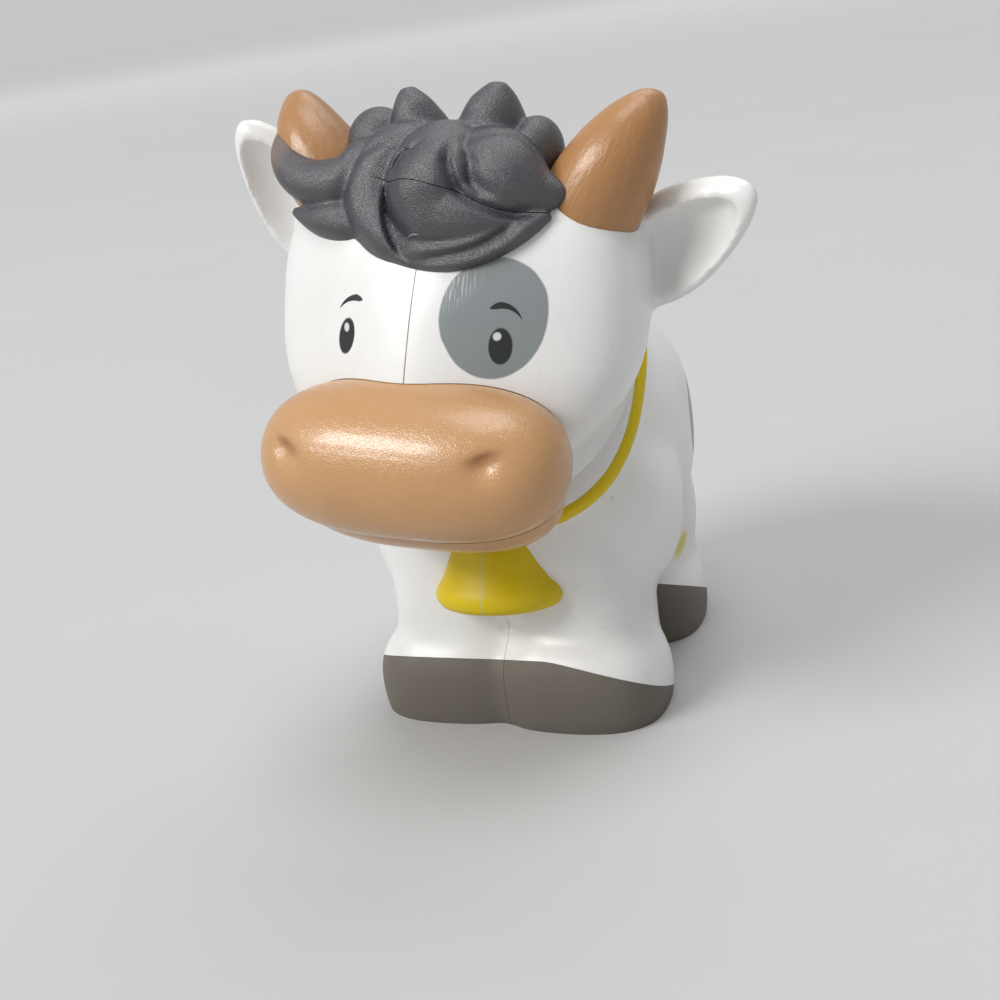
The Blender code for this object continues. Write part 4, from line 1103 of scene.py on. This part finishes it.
def face_prints_and_seam_shade(tree, vector, base, gloss):
    """The grey patch, the eyes with their sparks and the brows, as ink on the face, and painted shade along
    the face's seam.
    """
    x, y, z = parts_of(tree, vector)
    front = value_of(tree, "LESS_THAN", y, -18.0)
    rough_edge = value_of(tree, "MULTIPLY_ADD", noise(tree, vector, 0.4, 1.0), 0.04, -0.02)
    patch = oval(tree, x, z, (9.05, 53.8), (5.6, 6.05), math.radians(8.0), 0.10, 0.02, rough_edge)
    eye_left = oval(tree, x, z, (9.95, 51.1), (1.22, 1.86), math.radians(4.0), 0.0, 0.07)
    eye_right = oval(tree, x, z, (-8.55, 51.05), (1.16, 1.95), math.radians(-11.0), 0.0, 0.07)
    spark_left = oval(tree, x, z, (9.55, 52.1), (0.42, 0.42), edge=0.25)
    spark_right = oval(tree, x, z, (-8.62, 51.95), (0.38, 0.46), edge=0.25)
    brow_left = brow(tree, x, z, (9.0, 55.1), (10.5, 55.05), (12.05, 53.6), 0.85)
    brow_right = brow(tree, x, z, (-6.85, 55.15), (-8.35, 54.95), (-9.95, 53.6), 0.85)
    dark = most(tree, eye_left, eye_right, brow_left, brow_right)
    grey = printed(tree, GREY_INK, RUBBED_INK, scuffs(tree, vector, x, z))
    # Painted shade: a darker band along the seam stands in for the shade of a groove there
    base = printed(tree, base, SEAM_SHADE_COLOUR, wear_and_shade_along(tree, x, 0.0, 0.16, 0.6), front)
    base = printed(tree, base, grey, patch, front)
    base = printed(tree, base, BLACK_INK, dark, front)
    base = printed(tree, base, WHITE_INK, most(tree, spark_left, spark_right), front)
    ink = value_of(tree, "MULTIPLY", most(tree, patch, dark), front)
    return base, value_of(tree, "MULTIPLY_ADD", ink, 0.06, gloss)


def nostril_painted_shade(tree, vector, base, gloss):
    """Painted shade in the pits of the nostrils, which are also made duller."""
    x, y, z = parts_of(tree, vector)
    front = value_of(tree, "LESS_THAN", y, -30.0)
    pits = []
    for side in (-1, 1):
        out = side * NOSTRIL[0]
        middle = (SNOUT_MIDDLE[0] + out, SNOUT_MIDDLE[2] + NOSTRIL[1] + 0.1 + out * math.tan(SNOUT_ROLL))
        pits.append(oval(tree, x, z, middle, (1.75, 0.75), side * NOSTRIL_TILT + SNOUT_ROLL, 0.0, 0.55))
    pit = value_of(tree, "MULTIPLY", most(tree, *pits), front)
    # Painted shade: the nostril pits are darkened where shade falls in them
    base = printed(tree, base, NOSTRIL_SHADE_COLOUR, value_of(tree, "MULTIPLY", pit, 0.6))
    return base, value_of(tree, "MULTIPLY_ADD", pit, 0.45, gloss)


def hair_marks(tree, vector, base, gloss):
    """A small scratch on the forelock, and horn paint that has strayed onto the tip of a lock."""
    x, y, z = parts_of(tree, vector)
    front = value_of(tree, "LESS_THAN", y, -22.0)
    scratch = brow(tree, x, z, (0.7, 62.4), (-0.1, 62.25), (-1.3, 61.5), 0.28)
    stray = oval(tree, x, z, (-21.6, 69.6), (2.0, 2.6), 0.0, 0.0, 0.7)
    base = printed(tree, base, SCRATCH_COLOUR, scratch, front)
    return printed(tree, base, STRAY_COLOUR, value_of(tree, "MULTIPLY", stray, 0.5)), gloss


def body_prints(tree, vector, base, gloss):
    """The grey patch on the left flank and the small yellow mark under it."""
    x, y, z = parts_of(tree, vector)
    left = value_of(tree, "GREATER_THAN", x, 0.0)
    rough_edge = value_of(tree, "MULTIPLY_ADD", noise(tree, vector, 0.4, 1.0), 0.10, -0.05)
    patch = oval(tree, y, z, (16.0, 28.5), (7.4, 6.7), math.radians(20.0), 0.1, 0.02, rough_edge)
    mark = oval(tree, y, z, (7.0, 12.3), (1.0, 1.8), math.radians(-35.0), 0.2, 0.5, rough_edge)
    base = printed(tree, base, GREY_INK, patch, left)
    return printed(tree, base, YELLOW_INK, mark, left), gloss


white_body = plastic("white_body_plastic", WHITE, 0.30, 0.35, 0.10, speck=0.25, prints_and_shade=body_prints)
white_face = plastic("white_face_plastic", WHITE, 0.28, 0.30, 0.08, on_head=True, speck=0.2,
                     prints_and_shade=face_prints_and_seam_shade)
tan = plastic("tan_plastic", TAN, 0.21, 0.8, 0.9, on_head=True, peel_size=0.8, grain_size=0.17,
              coat=0.3, prints_and_shade=nostril_painted_shade)
horn_tan = plastic("horn_plastic", HORN_TAN, 0.34, 0.9, 0.30, on_head=True, peel_size=1.4, coat=0.15,
                   lines=streaks)
charcoal = plastic("hair_plastic", CHARCOAL, 0.35, 0.5, 1.9, on_head=True, peel_size=0.6,
                   grain_size=0.13, specular=1.0, prints_and_shade=hair_marks)
charcoal_tail = plastic("tail_plastic", CHARCOAL, 0.35, 0.5, 1.9, peel_size=0.6, grain_size=0.13,
                        specular=1.0)
yellow = plastic("yellow_plastic", YELLOW, 0.44, 0.5, 0.2, specular=0.35)
yellow_bell = plastic("bell_plastic", YELLOW, 0.44, 0.5, 0.2, specular=0.35, prints_and_shade=bell_prints)
taupe = plastic("hoof_plastic", TAUPE, 0.55, 0.5, 0.3, specular=0.35)
rubber = plastic("rubber", BLACK, 0.7, 0.4, 0.6)

PIECES = {
    "torso_left": ("body", white_body, "white_plastic", ["body_shell_left"]),
    "torso_right": ("body", white_body, "white_plastic", ["body_shell_right"]),
    "hoof_front_left": ("body", taupe, "hoof_plastic", ["front_hoof_left"]),
    "hoof_front_right": ("body", taupe, "hoof_plastic", ["front_hoof_right"]),
    "hoof_rear_left": ("body", taupe, "hoof_plastic", ["rear_hoof_left"]),
    "hoof_rear_right": ("body", taupe, "hoof_plastic", ["rear_hoof_right"]),
    "collar_band": ("body", yellow, "yellow_plastic", ["collar"]),
    "chest_bell": ("body", yellow_bell, "yellow_plastic", ["bell"]),
    "tail_rope": ("body", white_body, "white_plastic", ["tail"]),
    "tail_brush": ("body", charcoal_tail, "hair_plastic", ["tail_tuft"]),
    "face_left": ("head", white_face, "white_plastic", ["head_shell_left"]),
    "face_right": ("head", white_face, "white_plastic", ["head_shell_right"]),
    "curls_fringe": ("head", charcoal, "hair_plastic", ["hair_fringe"]),
    "curls_crown": ("head", charcoal, "hair_plastic", ["hair_crown"]),
    "muzzle": ("head", tan, "tan_plastic", ["snout"]),
    "lip": ("head", tan, "tan_plastic", ["jaw"]),
    "horn_cone_left": ("head", horn_tan, "horn_plastic", ["horn_left"]),
    "horn_cone_right": ("head", horn_tan, "horn_plastic", ["horn_right"]),
}

for thing in make_body() + make_head():
    thing = keep_largest(thing)
    body, material, slot, replaced = PIECES[thing.name]
    placed(thing, HEAD_PLACE if body == "head" else BODY_PLACE)
    thing.data.materials.clear()
    thing.data.materials.append(material)
    pick(thing)
    bpy.ops.object.shade_smooth_by_angle(angle=math.radians(38.0))
    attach(thing, body)
    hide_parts(*replaced)

for name, material in (("neck_pin", white_face), ("neck_ring", rubber)):
    for slot in nodes[name].material_slots:
        slot.material = material


# Floor, light and camera

FLOOR_DARK = (0.49, 0.49, 0.49)
FLOOR_LIGHT = (0.52, 0.52, 0.52)
FLOOR_LIFT = 0.33
FLOOR_LIFT_REACH = (0.5, 3.4)
SKY_COLOUR = (0.82, 0.83, 0.84, 1.0)
SKY_STRENGTH = 0.47
SKY_SEEN_MORE = 0.21
CAMERA_ANGLES = (23.19, 20.0, -8.91)
CAMERA_FROM_NECK = (63.08, -151.53, 44.82)
CAMERA_LENS = 50.4
# Each lamp: name, place, size, power and colour. All of them face the cow
LAMP_AIM = Vector((0.0, 0.0, 0.04))
LAMPS = (
    ("key", (-1.75, -1.85, 2.0), (1.5, 0.7), 60.0, (1.0, 0.99, 0.97)),
    ("strip", (-1.9, -2.0, 1.25), (1.4, 0.05), 7.0, (1.0, 1.0, 1.0)),
    ("top", (0.1, -0.1, 2.6), (1.6, 1.2), 26.0, (1.0, 1.0, 1.0)),
    ("back", (0.2, 1.8, 2.6), (2.2, 1.4), 20.0, (1.0, 1.0, 1.0)),
)


def seen_directly(tree):
    """1 for what the camera sees, by itself or through a shine or a clear part."""
    ray = tree.nodes.new("ShaderNodeLightPath").outputs
    return most(tree, ray["Is Camera Ray"], ray["Is Glossy Ray"], ray["Is Transmission Ray"])


def make_floor():
    bpy.ops.mesh.primitive_plane_add(size=60.0)
    floor = bpy.context.active_object
    floor.name = "floor"
    material = bpy.data.materials.new("pale_floor")
    material.use_nodes = True
    tree = material.node_tree
    shader = tree.nodes["Principled BSDF"]
    place = tree.nodes.new("ShaderNodeTexCoord").outputs["Object"]
    cloud = noise(tree, place, 14.0, 4.0)
    tree.links.new(blended(tree, cloud, FLOOR_DARK, FLOOR_LIGHT), shader.inputs["Base Color"])
    shader.inputs["Roughness"].default_value = 0.8
    shader.inputs["Specular IOR Level"].default_value = 0.2
    # The lamps fade with distance, so the far floor is brought up to the near floor's tone for the camera
    reach = tree.nodes.new("ShaderNodeVectorMath")
    reach.operation = "LENGTH"
    tree.links.new(place, reach.inputs[0])
    lift = ramp(tree, reach.outputs["Value"], *FLOOR_LIFT_REACH, 0.0, FLOOR_LIFT)
    glow = value_of(tree, "MULTIPLY", lift, seen_directly(tree))
    tree.links.new(blended(tree, glow, (0.0, 0.0, 0.0), (1.0, 1.0, 1.0)), shader.inputs["Emission Color"])
    shader.inputs["Emission Strength"].default_value = 1.0
    floor.data.materials.append(material)


def make_lamp(name, place, size, power, colour):
    lamp = bpy.data.lights.new(name, "AREA")
    lamp.shape = "RECTANGLE"
    lamp.size, lamp.size_y = size
    lamp.energy = power
    lamp.color = colour
    thing = bpy.data.objects.new(name, lamp)
    thing.location = place
    thing.rotation_euler = (Vector(place) - LAMP_AIM).to_track_quat("Z", "Y").to_euler()
    bpy.context.scene.collection.objects.link(thing)


def make_camera():
    azimuth, elevation, roll = (math.radians(angle) for angle in CAMERA_ANGLES)
    ahead = Vector((
        -math.sin(azimuth) * math.cos(elevation),
        math.cos(azimuth) * math.cos(elevation),
        -math.sin(elevation),
    ))
    side = Vector((math.cos(azimuth), math.sin(azimuth), 0.0))
    up = side.cross(ahead)
    right = side * math.cos(roll) + up * math.sin(roll)
    above = up * math.cos(roll) - side * math.sin(roll)
    lens = bpy.data.cameras.new("camera")
    lens.lens = CAMERA_LENS
    lens.sensor_width = 36.0
    lens.clip_start = 0.005
    camera = bpy.data.objects.new("camera", lens)
    place = hinge_point + Vector(CAMERA_FROM_NECK) * MM
    camera.matrix_world = Matrix((
        (right.x, above.x, -ahead.x, place.x),
        (right.y, above.y, -ahead.y, place.y),
        (right.z, above.z, -ahead.z, place.z),
        (0.0, 0.0, 0.0, 1.0),
    ))
    bpy.context.scene.collection.objects.link(camera)
    bpy.context.scene.camera = camera


make_floor()
for lamp in LAMPS:
    make_lamp(*lamp)
world = bpy.data.worlds.new("studio")
world.use_nodes = True
sky = world.node_tree
backdrop = sky.nodes["Background"]
backdrop.inputs["Color"].default_value = SKY_COLOUR
strength = value_of(sky, "MULTIPLY_ADD", seen_directly(sky), SKY_SEEN_MORE, SKY_STRENGTH)
sky.links.new(strength, backdrop.inputs["Strength"])
bpy.context.scene.world = world
bpy.context.scene.view_settings.view_transform = "Standard"
make_camera()
